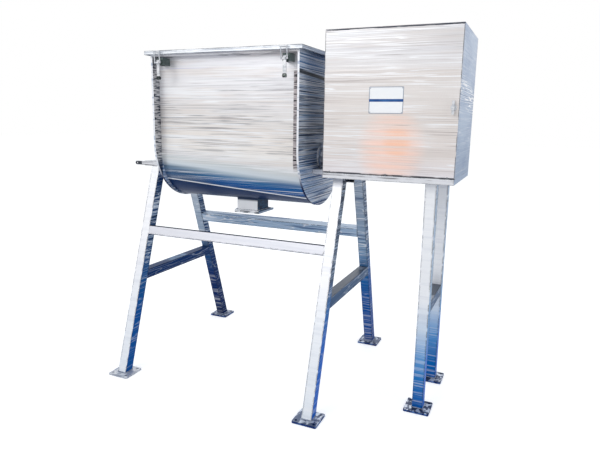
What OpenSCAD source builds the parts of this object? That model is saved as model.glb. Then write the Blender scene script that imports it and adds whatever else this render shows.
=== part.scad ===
// Mass mixer: a closed U-trough with a double ribbon agitator, carried on two splayed
// A-frames, and a belt drive in a sheet-metal box over the middle and right legs.
// Origin: middle of the footprint on the floor. X runs along the shaft to the drive end,
// the front faces -Y and Z is up. All sizes are in millimetres.

/* [Trough] */
// Inner radius of the trough's round bottom
trough_r = 243; // [230:1:255]
// Length of the trough between its end plates
trough_len = 806; // [720:1:900]
// Sheet thickness of the trough
trough_wall = 3; // [2:0.5:5]
// Height of the rim above the shaft
rim_rise = 503; // [440:1:560]
// Thickness of the end plates
plate_t = 10; // [8:1:14]
// How far the end plates stand proud of the trough's sides
plate_proud = 49; // [40:1:58]
// Depth of the trough's end plates below the shell
plate_drop = 5; // [2:1:12]
// Thickness of the rim angle
rim_t = 6; // [4:1:8]
// Height of the rim angle's turned-down lip
rim_lip = 22; // [20:1:30]

/* [Lid] */
// Overhang of the lid past the rim
lid_over = 22; // [18:1:28]
// Sheet thickness of the lid
lid_t = 2; // [1.5:0.5:3]
// Height of the lid's folded skirt
lid_skirt = 19; // [16:1:22]
// Thickness of the lid's seal
gasket_t = 3; // [2:0.5:4]
// Width of the lid's seal
gasket_w = 20; // [14:1:26]

/* [Discharge] */
// How far the outlet stands off the trough's middle, towards the drive
outlet_shift = 12; // [0:1:24]
// Clear opening of the discharge chute
chute_bore = 116; // [90:2:140]
// Wall of the chute
chute_wall = 4; // [3:0.5:6]
// Length of the chute below the trough
chute_drop = 62; // [50:1:90]
// Width of the chute's flanges past its walls
chute_lip = 12; // [11:1:18]
// Thickness of each chute flange
chute_flange_t = 6; // [5:1:8]
// Thickness of the slide gate
gate_t = 4; // [3:0.5:6]

/* [Stand] */
// Side of the square legs, rails and braces
tube = 50; // [44:1:56]
// Wall of the square tube
tube_wall = 3; // [2:0.5:4]
// Height of the leg tops
head_z = 1091; // [1000:1:1200]
// Front to rear distance between the splayed feet
foot_spread = 980; // [900:10:1060]
// Front to rear distance between the splayed legs at their tops
head_spread = 290; // [270:5:310]
// Front to rear distance between the upright drive legs
drive_spread = 340; // [320:5:380]
// Left A-frame to the trough
left_gap = 94; // [80:1:120]
// Trough to the middle A-frame
right_gap = 157; // [150:1:180]
// Middle A-frame to the drive legs
drive_pitch = 438; // [400:1:480]
// Height of the long rails' middle
rail_z = 746; // [650:5:800]
// Height of the braces' middle
brace_z = 508; // [420:5:600]
// Side of the square foot plates
foot_plate = 120; // [110:2:140]
// Thickness of the foot plates
foot_plate_t = 10; // [8:1:14]
// Anchor hole in a foot plate
foot_hole_d = 13; // [10:1:16]
// Spacing of a foot plate's four anchor holes, both ways
foot_hole_pitch = 88; // [84:1:94]

/* [Drive box] */
// Length of the drive box
box_len = 596; // [580:2:660]
// Depth of the drive box, front to rear
box_depth = 490; // [460:2:540]
// Height of the drive box above its deck
box_h = 632; // [600:2:700]
// Sheet thickness of the drive box
box_sheet = 2; // [1.5:0.5:3]
// Depth of the door's folded tray
door_depth = 15; // [12:1:18]
// Thickness of the deck and the bearing shelf
deck_t = 25; // [20:1:32]

/* [Agitator] */
// Diameter of the shaft in its bearings
shaft_d = 50; // [44:1:56]
// Diameter of the shaft inside the trough
core_d = 60; // [58:1:70]
// Gap between the outer ribbon and the trough
ribbon_gap = 5; // [3:0.5:10]
// Width of the outer ribbon
outer_ribbon_w = 38; // [28:1:48]
// Outer radius of the inner ribbon
inner_ribbon_r = 128; // [110:1:145]
// Width of the inner ribbon
inner_ribbon_w = 30; // [22:1:38]
// Thickness of the ribbons
ribbon_t = 8; // [6:0.5:10]
// Diameter of the arms
arm_d = 20; // [16:1:24]

/* [Belt drive] */
// Pitch radius of the pulley on the agitator shaft
big_belt_r = 72; // [66:1:76]
// Turns of the gearbox shaft for one turn of the agitator
belt_ratio = 1.5; // [1.3:0.1:1.8]
// Height of the gearbox shaft above the agitator shaft
belt_centres = 285; // [275:1:300]
// Width of each belt over its back
belt_w = 13; // [11:0.5:14]
// Thickness of each belt
belt_t = 8; // [7:0.5:9]

/* [Hidden] */

$fn = 48;
// Overrun of a cut past the face it leaves
cut = 1;
// Clearance between a moving piece and its seat
seat_gap = 0.3;
// Radial clearance of a shaft or pin that turns in a bore
run_gap = 0.05;

// Finishes
steel = [0.80, 0.80, 0.82];
dark_steel = [0.52, 0.55, 0.60];
cast = [0.30, 0.36, 0.42];
rubber = [0.16, 0.16, 0.17];
bright = [0.88, 0.88, 0.90];

// Lean of the splayed legs, worked out between plate top and head
splay = atan((foot_spread - head_spread) / 2 / (head_z - foot_plate_t));
// Half of a leaning leg's width along Y
leg_half = tube / 2 / cos(splay);
deck_z = head_z + deck_t;
// Height of a pillow block's bore above its base
bearing_h = 57.2;
shaft_z = deck_z + bearing_h;
rim_z = shaft_z + rim_rise;
shell_r = trough_r + trough_wall;
plate_half = shell_r + plate_proud;
lug_reach = 141;
// How far the box passes the middle A-frame towards the trough
box_over = 55;
bay_len = left_gap + trough_len + 2 * plate_t + right_gap;
total_len = lug_reach + bay_len - box_over + box_len;
left_x = lug_reach - total_len / 2;
plate_left_x = left_x + left_gap;
trough_x = plate_left_x + plate_t;
trough_mid_x = trough_x + trough_len / 2;
outlet_x = trough_mid_x + outlet_shift;
plate_right_x = trough_x + trough_len;
mid_x = left_x + bay_len;
drive_x = mid_x + drive_pitch;
box_x = mid_x - box_over;
box_end_x = box_x + box_len;
box_half = box_depth / 2;
box_top_z = deck_z + box_h;

// Shapes drawn in the Y-Z plane, with Y to the right, and run along X
module along_x(x, len) {
    translate([x, 0, 0])
        rotate([90, 0, 90])
            linear_extrude(len)
                children();
}

module rod_x(x, y, z, len, r) {
    translate([x, y, z])
        rotate([0, 90, 0])
            cylinder(h = len, r = r);
}

module rod_y(x, y, z, len, r) {
    translate([x, y, z])
        rotate([-90, 0, 0])
            cylinder(h = len, r = r);
}

module block(x, y, z, dx, dy, dz) {
    translate([x, y, z])
        cube([dx, dy, dz]);
}

// Middle line of a splayed leg at height z
function leg_y(z) = foot_spread / 2 - (z - foot_plate_t) * tan(splay);

// Legs

module leg_outline(half) {
    polygon([
        [leg_y(foot_plate_t) - half, foot_plate_t],
        [leg_y(foot_plate_t) + half, foot_plate_t],
        [leg_y(head_z) + half, head_z],
        [leg_y(head_z) - half, head_z]
    ]);
}

module splayed_leg(x, side) {
    color(steel)
        mirror([0, side < 0 ? 1 : 0, 0])
            difference() {
                along_x(x - tube / 2, tube)
                    leg_outline(leg_half);
                along_x(x - tube / 2 + tube_wall, tube - 2 * tube_wall)
                    leg_outline(leg_half - tube_wall / cos(splay));
            }
}

module upright_leg(y) {
    difference() {
        block(drive_x - tube / 2, y - tube / 2, foot_plate_t, tube, tube, head_z - foot_plate_t);
        block(drive_x - tube / 2 + tube_wall, y - tube / 2 + tube_wall, foot_plate_t,
              tube - 2 * tube_wall, tube - 2 * tube_wall, head_z - foot_plate_t);
    }
}

module leg_left_front() { splayed_leg(left_x, -1); }
module leg_left_rear() { splayed_leg(left_x, 1); }
module leg_mid_front() { splayed_leg(mid_x, -1); }
module leg_mid_rear() { splayed_leg(mid_x, 1); }

module drive_legs() {
    color(steel)
        for (s = [-1, 1])
            upright_leg(s * drive_spread / 2);
}

foot_round = 6;

module foot_plate_at(x, y) {
    translate([x, y, 0])
        linear_extrude(foot_plate_t)
            difference() {
                union() {
                    square([foot_plate - 2 * foot_round, foot_plate], center = true);
                    square([foot_plate, foot_plate - 2 * foot_round], center = true);
                    for (sx = [-1, 1], sy = [-1, 1])
                        translate([sx, sy] * (foot_plate / 2 - foot_round))
                            circle(r = foot_round);
                }
                for (sx = [-1, 1], sy = [-1, 1])
                    translate([sx, sy] * foot_hole_pitch / 2)
                        circle(d = foot_hole_d);
            }
}

module foot_plates() {
    color(dark_steel) {
        for (x = [left_x, mid_x], s = [-1, 1])
            foot_plate_at(x, s * foot_spread / 2);
        for (s = [-1, 1])
            foot_plate_at(drive_x, s * drive_spread / 2);
    }
}

// Rails lie in the plane of the legs and butt against their sides
module rail(side) {
    color(steel)
        mirror([0, side < 0 ? 1 : 0, 0])
            along_x(left_x + tube / 2, bay_len - tube)
                translate([leg_y(rail_z), rail_z])
                    rotate(splay)
                        difference() {
                            square(tube, center = true);
                            square(tube - 2 * tube_wall, center = true);
                        }
}

module rail_front() { rail(-1); }
module rail_rear() { rail(1); }

// Braces run from leg to leg, cut to the legs' lean
module brace_outline(grow) {
    low = brace_z - tube / 2 + grow;
    high = brace_z + tube / 2 - grow;
    y_low = leg_y(low) - leg_half;
    y_high = leg_y(high) - leg_half;
    polygon([[-y_low, low], [y_low, low], [y_high, high], [-y_high, high]]);
}

module splayed_brace(x) {
    color(steel)
        difference() {
            along_x(x - tube / 2, tube)
                brace_outline(0);
            along_x(x - tube / 2 + tube_wall, tube - 2 * tube_wall)
                brace_outline(tube_wall);
        }
}

module brace_left() { splayed_brace(left_x); }
module brace_mid() { splayed_brace(mid_x); }

module brace_drive() {
    run = drive_spread - tube;
    color(steel)
        difference() {
            block(drive_x - tube / 2, -run / 2, brace_z - tube / 2, tube, run, tube);
            block(drive_x - tube / 2 + tube_wall, -run / 2, brace_z - tube / 2 + tube_wall,
                  tube - 2 * tube_wall, run, tube - 2 * tube_wall);
        }
}

// Pillow block: feet sizes, shared by what carries it
block_w = 60;
block_len = 206;
block_foot_t = 18;
block_bolt_pitch = 159;
block_bolt_d = 16;
block_bore_r = 45;
block_body_r = 56;
insert_w = 44;
left_bearing_x = left_x - 20;
right_bearing_x = mid_x;

// Shelf over the left A-frame, welded to the left end plate
shelf_out = 76;
shelf_skin = 10;
shelf_wall = 6;
lug_t = 8;
lug_h = 20;
lug_hole_d = 11;
shelf_half = head_spread / 2 + leg_half;

module bearing_bolt_holes(x) {
    for (s = [-1, 1])
        translate([x, s * block_bolt_pitch / 2, head_z - cut])
            cylinder(h = deck_t + 2 * cut, d = block_bolt_d + cut);
}

module bearing_shelf() {
    lug_x = left_x - lug_reach + lug_h / 2;
    pocket_half = head_spread / 2 - leg_half - shelf_wall;
    color(steel)
        difference() {
            union() {
                block(left_x - shelf_out, -shelf_half, head_z, shelf_out + left_gap,
                      2 * shelf_half, deck_t);
                block(lug_x, -shelf_half, deck_z - (deck_t + lug_h) / 2,
                      left_x - shelf_out - lug_x, lug_t, lug_h);
                rod_y(lug_x, -shelf_half, deck_z - deck_t / 2, lug_t, lug_h / 2);
            }
            block(left_x - shelf_out + shelf_wall, -pocket_half, head_z - cut,
                  shelf_out + left_gap - 2 * shelf_wall, 2 * pocket_half, deck_t - shelf_skin + cut);
            rod_y(lug_x, -shelf_half - cut, deck_z - deck_t / 2, lug_t + 2 * cut, lug_hole_d / 2);
            bearing_bolt_holes(left_bearing_x);
        }
}

// Deck under the drive box: a tray with bars over the legs and a slot for the pulley
deck_skin = 8;
deck_wall = 8;
belt_out = 93;
belt_x = mid_x + belt_out;
belt_slot_w = 44;
belt_slot_gap = 14;

module drive_deck() {
    pocket_h = deck_t - deck_skin;
    bar = tube + 2 * deck_wall;
    slot_half = big_belt_r + belt_slot_gap;
    color(steel)
        difference() {
            union() {
                difference() {
                    block(box_x, -box_half, head_z, box_len, box_depth, deck_t);
                    block(box_x + deck_wall, -box_half + deck_wall, head_z - cut,
                          box_len - 2 * deck_wall, box_depth - 2 * deck_wall, pocket_h + cut);
                }
                for (x = [mid_x, drive_x])
                    block(x - bar / 2, -box_half + deck_wall / 2, head_z, bar,
                          box_depth - deck_wall, deck_t);
            }
            block(belt_x - belt_slot_w / 2, -slot_half, head_z - cut,
                  belt_slot_w, 2 * slot_half, deck_t + 2 * cut);
            bearing_bolt_holes(right_bearing_x);
        }
    // Lower door pin and the collar the door stands on
    color(steel)
        translate([door_pin_x, door_pin_y, deck_z - deck_skin / 2]) {
            cylinder(h = deck_skin / 2 + cover_gap + door_pin_len - door_pin_play, r = door_pin_r,
                     $fn = 32);
            cylinder(h = deck_skin / 2 + cover_gap - seat_gap, r = door_collar_r, $fn = 32);
        }
}

// Flat tube that lies across the middle legs, right of them
flat_tube_h = 25;
flat_tube_wall = 2.5;

module cross_tube() {
    reach = head_spread + tube / 2;
    color(steel)
        difference() {
            block(mid_x + tube / 2, -reach / 2, head_z - flat_tube_h, tube, reach, flat_tube_h);
            block(mid_x + tube / 2 + flat_tube_wall, -reach / 2 - cut,
                  head_z - flat_tube_h + flat_tube_wall,
                  tube - 2 * flat_tube_wall, reach + 2 * cut, flat_tube_h - 2 * flat_tube_wall);
        }
}

// Channel that ties the right end plate to the deck
bracket_half = 120;

module trough_bracket() {
    x = plate_right_x + plate_t;
    color(steel)
        difference() {
            block(x, -bracket_half, head_z, box_x - x, 2 * bracket_half, deck_t);
            block(x - cut, -bracket_half + shelf_wall, head_z - cut,
                  box_x - x + 2 * cut, 2 * (bracket_half - shelf_wall), deck_t - shelf_skin + cut);
        }
}

// Trough

module u_outline(r, centre_z, top) {
    translate([0, centre_z])
        circle(r = r, $fn = 96);
    translate([-r, centre_z])
        square([2 * r, top - centre_z]);
}

module trough_shell() {
    color(steel)
        difference() {
            along_x(trough_x, trough_len)
                difference() {
                    u_outline(shell_r, shaft_z, rim_z - rim_t);
                    u_outline(trough_r, shaft_z, rim_z);
                }
            block(outlet_x - chute_bore / 2, -chute_bore / 2, shaft_z - shell_r - cut,
                  chute_bore, chute_bore, shell_r / 2);
        }
}

// Stuffing box sizes, shared with the end plates
seal_bore_r = shaft_d / 2 + 12;
seal_barrel_r = seal_bore_r + 10;
seal_flange_r = seal_barrel_r + 22;
seal_flange_t = 10;
seal_len = 46;
seal_bolt_r = seal_barrel_r + 12;
seal_bolt_d = 10;
seal_bolts_n = 4;

module end_plate(x) {
    centre_z = shaft_z - shell_r - plate_drop + plate_half;
    color(steel)
        difference() {
            along_x(x, plate_t)
                u_outline(plate_half, centre_z, rim_z);
            rod_x(x - cut, 0, shaft_z, plate_t + 2 * cut, core_d / 2 + cut);
            at_both_seals()
                seal_bolt_places(-stud_bolts_depth)
                    rod_x(0, 0, 0, stud_bolts_depth + cut, seal_bolt_d / 2);
        }
}

module end_plate_left() { end_plate(plate_left_x); }
module end_plate_right() { end_plate(plate_right_x); }

// Angles along the trough's front and rear rim, leg down at the outside
module rim_angles() {
    color(steel)
        for (s = [-1, 1])
            mirror([0, s < 0 ? 1 : 0, 0])
                along_x(trough_x, trough_len) {
                    translate([trough_r, rim_z - rim_t])
                        square([plate_half - trough_r, rim_t]);
                    translate([plate_half - rim_t, rim_z - rim_lip])
                        square([rim_t, rim_lip]);
                }
}

module lid_gasket() {
    x = plate_left_x + lid_t;
    len = trough_len + 2 * plate_t - 2 * lid_t;
    half = plate_half - lid_t;
    color(rubber)
        translate([x, -half, rim_z])
            linear_extrude(gasket_t)
                difference() {
                    square([len, 2 * half]);
                    translate([gasket_w, gasket_w])
                        square([len - 2 * gasket_w, 2 * (half - gasket_w)]);
                }
}

// Discharge

chute_half = chute_bore / 2 + chute_wall;
flange_half = chute_half + chute_lip;
chute_low_z = shaft_z - shell_r - chute_drop;
gate_bolt_d = 6;

module flange_bolt_places() {
    for (sx = [-1, 1], y_share = [-0.5, 0.5])
        translate([outlet_x + sx * (flange_half - chute_lip / 2), y_share * chute_bore, 0])
            children();
}

module discharge_chute() {
    color(steel)
        difference() {
            union() {
                block(outlet_x - chute_half, -chute_half, chute_low_z,
                      2 * chute_half, 2 * chute_half, chute_drop + shell_r / 2);
                block(outlet_x - flange_half, -flange_half, chute_low_z,
                      2 * flange_half, 2 * flange_half, chute_flange_t);
            }
            block(outlet_x - chute_bore / 2, -chute_bore / 2, chute_low_z - cut,
                  chute_bore, chute_bore, chute_drop + shell_r);
            rod_x(outlet_x - flange_half - cut, 0, shaft_z, 2 * flange_half + 2 * cut, shell_r, $fn = 96);
            flange_bolt_places()
                translate([0, 0, chute_low_z - cut])
                    cylinder(h = chute_flange_t + 2 * cut, d = gate_bolt_d + cut);
        }
}

gate_slot_h = gate_t + 2 * seat_gap;
gate_slot_z = chute_low_z - gate_slot_h;
gate_low_z = gate_slot_z - chute_flange_t;
gate_half = chute_half + seat_gap;
gate_travel = chute_bore + 12;
gate_stop = 12;
// How far the guides run on behind the flange
guide_run = 30;
// Tapped holes under the gate for whatever hangs on the outlet
outlet_hole_d = 6;
outlet_pitch_share = 0.3;

// Lower flange with side guides that run on a little behind it, and a stop in front
module gate_frame() {
    guide_w = flange_half - gate_half - seat_gap;
    guide_len = 2 * flange_half + guide_run;
    color(steel)
        difference() {
            union() {
                block(outlet_x - flange_half, -flange_half, gate_low_z,
                      2 * flange_half, 2 * flange_half, chute_flange_t);
                for (s = [-1, 1])
                    block(s < 0 ? outlet_x - flange_half : outlet_x + flange_half - guide_w, -flange_half,
                          gate_low_z, guide_w, guide_len, chute_flange_t + gate_slot_h);
                block(outlet_x - flange_half, -flange_half, gate_low_z,
                      2 * flange_half, gate_stop, chute_flange_t + gate_slot_h);
            }
            block(outlet_x - chute_bore / 2, -chute_bore / 2, gate_low_z - cut,
                  chute_bore, chute_bore, chute_flange_t + 2 * cut);
            flange_bolt_places()
                translate([0, 0, gate_low_z - cut])
                    cylinder(h = chute_flange_t + gate_slot_h + 2 * cut, d = gate_bolt_d);
            for (sx = [-1, 1], sy = [-1, 1])
                translate([outlet_x + sx * outlet_pitch_share * chute_bore,
                           sy * (flange_half - chute_lip / 2),
                           gate_low_z - cut])
                    cylinder(h = chute_flange_t + cut, d = outlet_hole_d, $fn = 32);
        }
}

gate_tail = 36;
gate_grip_len = 60;
gate_grip_r = 9;

module slide_gate() {
    front = -flange_half + gate_stop + seat_gap;
    rear = flange_half + gate_tail;
    color(bright) {
        block(outlet_x - gate_half, front, gate_slot_z + seat_gap, 2 * gate_half, rear - front, gate_t);
        rod_x(outlet_x - gate_grip_len / 2, rear, gate_slot_z + seat_gap + gate_t / 2,
              gate_grip_len, gate_grip_r);
    }
}

bolt_head_share = 0.65;
bolt_flat_share = 1.8;

// Hex bolt along +Z from the head's seat, with a nut where its grip ends
module bolt(d, grip, nut = true) {
    head = bolt_head_share * d;
    translate([0, 0, -head])
        cylinder(h = head, d = bolt_flat_share * d, $fn = 6);
    cylinder(h = nut ? grip + head + d / 4 : grip, d = d, $fn = 24);
    if (nut)
        translate([0, 0, grip])
            cylinder(h = head, d = bolt_flat_share * d, $fn = 6);
}

module gate_bolts() {
    color(bright)
        flange_bolt_places()
            translate([0, 0, chute_low_z + chute_flange_t])
                mirror([0, 0, 1])
                    bolt(gate_bolt_d, 2 * chute_flange_t + gate_slot_h - cut, nut = false);
}

// Stuffing boxes outside both end plates, mouth away from the trough
module at_both_seals() {
    translate([plate_left_x, 0, shaft_z])
        mirror([1, 0, 0])
            children();
    translate([plate_right_x + plate_t, 0, shaft_z])
        children();
}

seal_throat = 6;
packing_len = 24;
gland_nose = seal_len - seal_throat - packing_len;
gland_flange_t = 8;
gland_gap = 4;
gland_flange_r = seal_barrel_r + 17;
gland_half = 36;
// Depth of the seal's flange below the shaft, clear of the shelf
seal_drop = bearing_h - 2;
stud_d = 8;
stud_r = seal_barrel_r + 8;
stud_bolts_depth = plate_t * 0.8;

// Two studs beside each barrel pull the gland in
module stud_places(x) {
    for (s = [-1, 1])
        translate([x, s * stud_r, 0])
            children();
}

module ring_x(x, len, r_out, r_in) {
    difference() {
        rod_x(x, 0, 0, len, r_out);
        rod_x(x - cut, 0, 0, len + 2 * cut, r_in);
    }
}

module seal_bolt_places(x) {
    for (i = [0 : seal_bolts_n - 1])
        rotate([(i + 0.5) * 360 / seal_bolts_n, 0, 0])
            translate([x, 0, seal_bolt_r])
                children();
}

module seal_housings() {
    color(steel)
        at_both_seals()
            difference() {
                union() {
                    // Flange cut flat above the shelf
                    intersection() {
                        rod_x(0, 0, 0, seal_flange_t, seal_flange_r);
                        block(0, -seal_flange_r, -seal_drop, seal_flange_t, 2 * seal_flange_r,
                              2 * seal_flange_r);
                    }
                    rod_x(0, 0, 0, seal_len, seal_barrel_r);
                }
                rod_x(-cut, 0, 0, seal_len + 2 * cut, shaft_d / 2 + cut);
                rod_x(seal_throat, 0, 0, seal_len, seal_bore_r);
                seal_bolt_places(-cut)
                    rod_x(0, 0, 0, seal_flange_t + 2 * cut, seal_bolt_d / 2);
                stud_places(seal_flange_t / 2)
                    rod_x(0, 0, 0, seal_flange_t, stud_d / 2);
            }
}

module seal_packing() {
    color(rubber)
        at_both_seals()
            ring_x(seal_throat, packing_len, seal_bore_r, shaft_d / 2 + run_gap);
}

module seal_glands() {
    color(dark_steel)
        at_both_seals()
            difference() {
                union() {
                    rod_x(seal_throat + packing_len, 0, 0, gland_nose + gland_gap,
                          seal_bore_r - seat_gap);
                    intersection() {
                        rod_x(seal_len + gland_gap, 0, 0, gland_flange_t, gland_flange_r);
                        block(seal_len + gland_gap, -gland_flange_r, -gland_half,
                              gland_flange_t, 2 * gland_flange_r, 2 * gland_half);
                    }
                }
                rod_x(0, 0, 0, seal_len + gland_gap + gland_flange_t + cut, shaft_d / 2 + cut / 2);
                stud_places(seal_len)
                    rod_x(0, 0, 0, gland_gap + gland_flange_t + cut, stud_d / 2);
            }
}

module seal_bolts() {
    stud_grip = seal_len + gland_gap + gland_flange_t - seal_flange_t / 2;
    color(bright)
        at_both_seals() {
            seal_bolt_places(seal_flange_t)
                rotate([0, -90, 0])
                    bolt(seal_bolt_d, seal_flange_t + stud_bolts_depth, nut = false);
            stud_places(seal_flange_t / 2) {
                rod_x(0, 0, 0, stud_grip + stud_d, stud_d / 2);
                translate([stud_grip, 0, 0])
                    rotate([0, 90, 0])
                        cylinder(h = bolt_head_share * stud_d, d = bolt_flat_share * stud_d, $fn = 6);
            }
        }
}

// Lid

lid_x = plate_left_x - lid_over;
lid_len = trough_len + 2 * plate_t + 2 * lid_over;
lid_half = plate_half + lid_over;
lid_under_z = rim_z + gasket_t + seat_gap;
lid_top_z = lid_under_z + lid_t;
lid_low_z = lid_top_z - lid_skirt;

module lid() {
    color(bright) {
        difference() {
            block(lid_x, -lid_half, lid_low_z, lid_len, 2 * lid_half, lid_skirt);
            block(lid_x + lid_t, -lid_half + lid_t, lid_low_z - cut,
                  lid_len - 2 * lid_t, 2 * (lid_half - lid_t), lid_skirt - lid_t + cut);
        }
        at_hinges()
            lid_knuckle();
    }
}

// Lid hinges at the rear: knuckles on the lid, forked brackets on the rim
hinge_r = 8;
hinge_pin_r = 5;
hinge_off = 10;
hinge_y = lid_half + hinge_off;
hinge_z = lid_low_z + lid_skirt / 2;
hinge_w = 40;
hinge_ear = 10;
hinge_share = 0.36;
hinge_arm_h = 10;
hinge_pin_head = 3;

module at_hinges() {
    for (s = [-1, 1])
        translate([trough_mid_x + s * hinge_share * trough_len, 0, 0])
            children();
}

module lid_knuckle() {
    inner_w = hinge_w - 2 * hinge_ear - 2 * seat_gap;
    difference() {
        union() {
            rod_x(-inner_w / 2, hinge_y, hinge_z, inner_w, hinge_r);
            block(-inner_w / 2, lid_half - lid_t / 2, hinge_z - hinge_r, inner_w,
                  hinge_off + lid_t / 2, 2 * hinge_r);
        }
        rod_x(-hinge_w, hinge_y, hinge_z, 2 * hinge_w, hinge_pin_r + run_gap);
    }
}

module lid_hinge_brackets() {
    arm_top = lid_low_z - 2 * cut;
    color(steel)
        at_hinges()
            for (s = [-1, 1])
                translate([s * (hinge_w - hinge_ear) / 2 - hinge_ear / 2, 0, 0])
                    difference() {
                        union() {
                            rod_x(0, hinge_y, hinge_z, hinge_ear, hinge_r);
                            block(0, hinge_y - hinge_r, arm_top - hinge_arm_h, hinge_ear, 2 * hinge_r,
                                  hinge_z - arm_top + hinge_arm_h);
                            block(0, plate_half, arm_top - hinge_arm_h, hinge_ear,
                                  hinge_y - plate_half, hinge_arm_h);
                        }
                        rod_x(-cut, hinge_y, hinge_z, hinge_ear + 2 * cut, hinge_pin_r);
                    }
}

module lid_hinge_pins() {
    color(bright)
        at_hinges() {
            rod_x(-hinge_w / 2, hinge_y, hinge_z, hinge_w, hinge_pin_r);
            for (s = [-1, 1])
                rod_x(s < 0 ? -hinge_w / 2 - hinge_pin_head : hinge_w / 2, hinge_y, hinge_z,
                      hinge_pin_head, hinge_r - cut);
        }
}

// Draw latches at the front
latch_share = 0.434;
latch_w = 36;
latch_sheet = 3;
latch_plate_y = -(lid_half - 14);
latch_pivot_y = latch_plate_y - 10;
latch_pivot_z = lid_low_z - 32;
latch_pin_r = 3;
latch_ear_r = 7;
latch_throw_y = 10;
latch_throw_z = 8;
latch_base_top = lid_low_z - 14;
latch_base_h = 36;
lever_w = 16;
lever_t = 5;
lever_len = 82;
lever_knob_r = 9;
loop_rod_r = 2.5;
loop_eye_r = 3.5;
loop_half = 15;
loop_top_z = lid_top_z - 6;
keeper_out = 9;
keeper_w = 20;
keeper_h = 10;
loop_top_y = -(lid_half + keeper_out + loop_rod_r + 1.5);

module at_latch(s) {
    translate([trough_mid_x + s * latch_share * trough_len, 0, 0])
        children();
}

module latch_bases() {
    base_low = latch_base_top - latch_base_h;
    color(dark_steel)
        for (s = [-1, 1])
            at_latch(s)
                difference() {
                    union() {
                        block(-latch_w / 2, latch_plate_y, base_low, latch_w, latch_sheet, latch_base_h);
                        for (e = [-1, 1])
                            block(e < 0 ? -latch_w / 2 : latch_w / 2 - latch_sheet, latch_plate_y,
                                  base_low,
                                  latch_sheet, -shell_r - latch_plate_y, latch_base_h);
                        for (e = [-1, 1])
                            translate([e * (lever_w / 2 + seat_gap) + (e < 0 ? -latch_sheet : 0), 0, 0]) {
                                block(0, latch_pivot_y, latch_pivot_z - latch_ear_r, latch_sheet,
                                      latch_plate_y - latch_pivot_y, 2 * latch_ear_r);
                                rod_x(0, latch_pivot_y, latch_pivot_z, latch_sheet, latch_ear_r);
                            }
                    }
                    rod_x(-latch_w, latch_pivot_y, latch_pivot_z, 2 * latch_w, latch_pin_r + run_gap);
                }
}

// Lever: a cranked strap with its own pivot pin, hanging down at rest
module latch_lever(s) {
    front_y = latch_pivot_y - latch_ear_r;
    pin_len = lever_w + 2 * latch_sheet + 2 * seat_gap;
    color(dark_steel)
        at_latch(s) {
            rod_x(-lever_w / 2, latch_pivot_y, latch_pivot_z, lever_w, latch_ear_r);
            rod_x(-pin_len / 2, latch_pivot_y, latch_pivot_z, pin_len, latch_pin_r);
            difference() {
                union() {
                    block(-lever_w / 2, front_y, latch_pivot_z - lever_len, lever_w, lever_t, lever_len);
                    rod_x(-lever_w / 2, latch_pivot_y - latch_throw_y,
                          latch_pivot_z - latch_throw_z, lever_w,
                          2 * loop_rod_r);
                }
                rod_x(-lever_w, latch_pivot_y - latch_throw_y, latch_pivot_z - latch_throw_z, 2 * lever_w,
                      loop_rod_r + run_gap);
            }
            rod_x(-lever_w / 2, front_y + lever_t / 2, latch_pivot_z - lever_len, lever_w, lever_knob_r);
        }
}

module latch_lever_left() { latch_lever(-1); }
module latch_lever_right() { latch_lever(1); }

// Loop: two rods from the lever's cross pin up to a bar before the keeper
module rod_between(a, b, r) {
    d = b - a;
    run = norm([d.x, d.y]);
    translate(a)
        rotate([0, atan2(run, d.z), atan2(d.y, d.x)])
            cylinder(h = norm(d), r = r, $fn = 24);
}

module latch_loop(s) {
    low = [0, latch_pivot_y - latch_throw_y, latch_pivot_z - latch_throw_z];
    high = [0, loop_top_y, loop_top_z];
    side = [loop_half, 0, 0];
    color(bright)
        at_latch(s) {
            rod_x(-loop_half - loop_eye_r, low.y, low.z, 2 * (loop_half + loop_eye_r), loop_rod_r);
            rod_x(-loop_half - loop_eye_r, high.y, high.z, 2 * (loop_half + loop_eye_r), loop_eye_r);
            for (e = [-1, 1])
                rod_between(low + e * side, high + e * side, loop_rod_r);
            for (e = [-1, 1])
                rod_x(e * loop_half - loop_eye_r, low.y, low.z, 2 * loop_eye_r, loop_eye_r);
        }
}

module latch_loop_left() { latch_loop(-1); }
module latch_loop_right() { latch_loop(1); }

module latch_keepers() {
    color(bright)
        for (s = [-1, 1])
            at_latch(s)
                block(-keeper_w / 2, -lid_half - keeper_out, loop_top_z - loop_rod_r - keeper_h,
                      keeper_w, keeper_out, keeper_h);
}

// Agitator

ribbon_end_gap = 14;
ribbon_mid_gap = 24;
ribbon_run = trough_len / 2 - ribbon_end_gap - ribbon_mid_gap / 2 - ribbon_t;
ribbon_steps = 48;
shaft_end_left_x = left_bearing_x - block_w / 2 - 16;
shaft_end_right_x = belt_x + 30;

module agitator_shaft() {
    color(bright) {
        rod_x(shaft_end_left_x, 0, shaft_z, shaft_end_right_x - shaft_end_left_x, shaft_d / 2);
        rod_x(plate_left_x + seal_throat / 2, 0, shaft_z, trough_len + 2 * plate_t - seal_throat,
              core_d / 2);
    }
}

// One turn of ribbon: hand is 1 or -1, start is the angle of its outer end
function ribbon_angle(i, hand) = hand * i * 360 / ribbon_steps;

function ribbon_ring(x, half_t, r_in, r_out, a) = [
    [x - half_t, r_in * sin(a), r_in * cos(a)],
    [x - half_t, r_out * sin(a), r_out * cos(a)],
    [x + half_t, r_out * sin(a), r_out * cos(a)],
    [x + half_t, r_in * sin(a), r_in * cos(a)]
];

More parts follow.
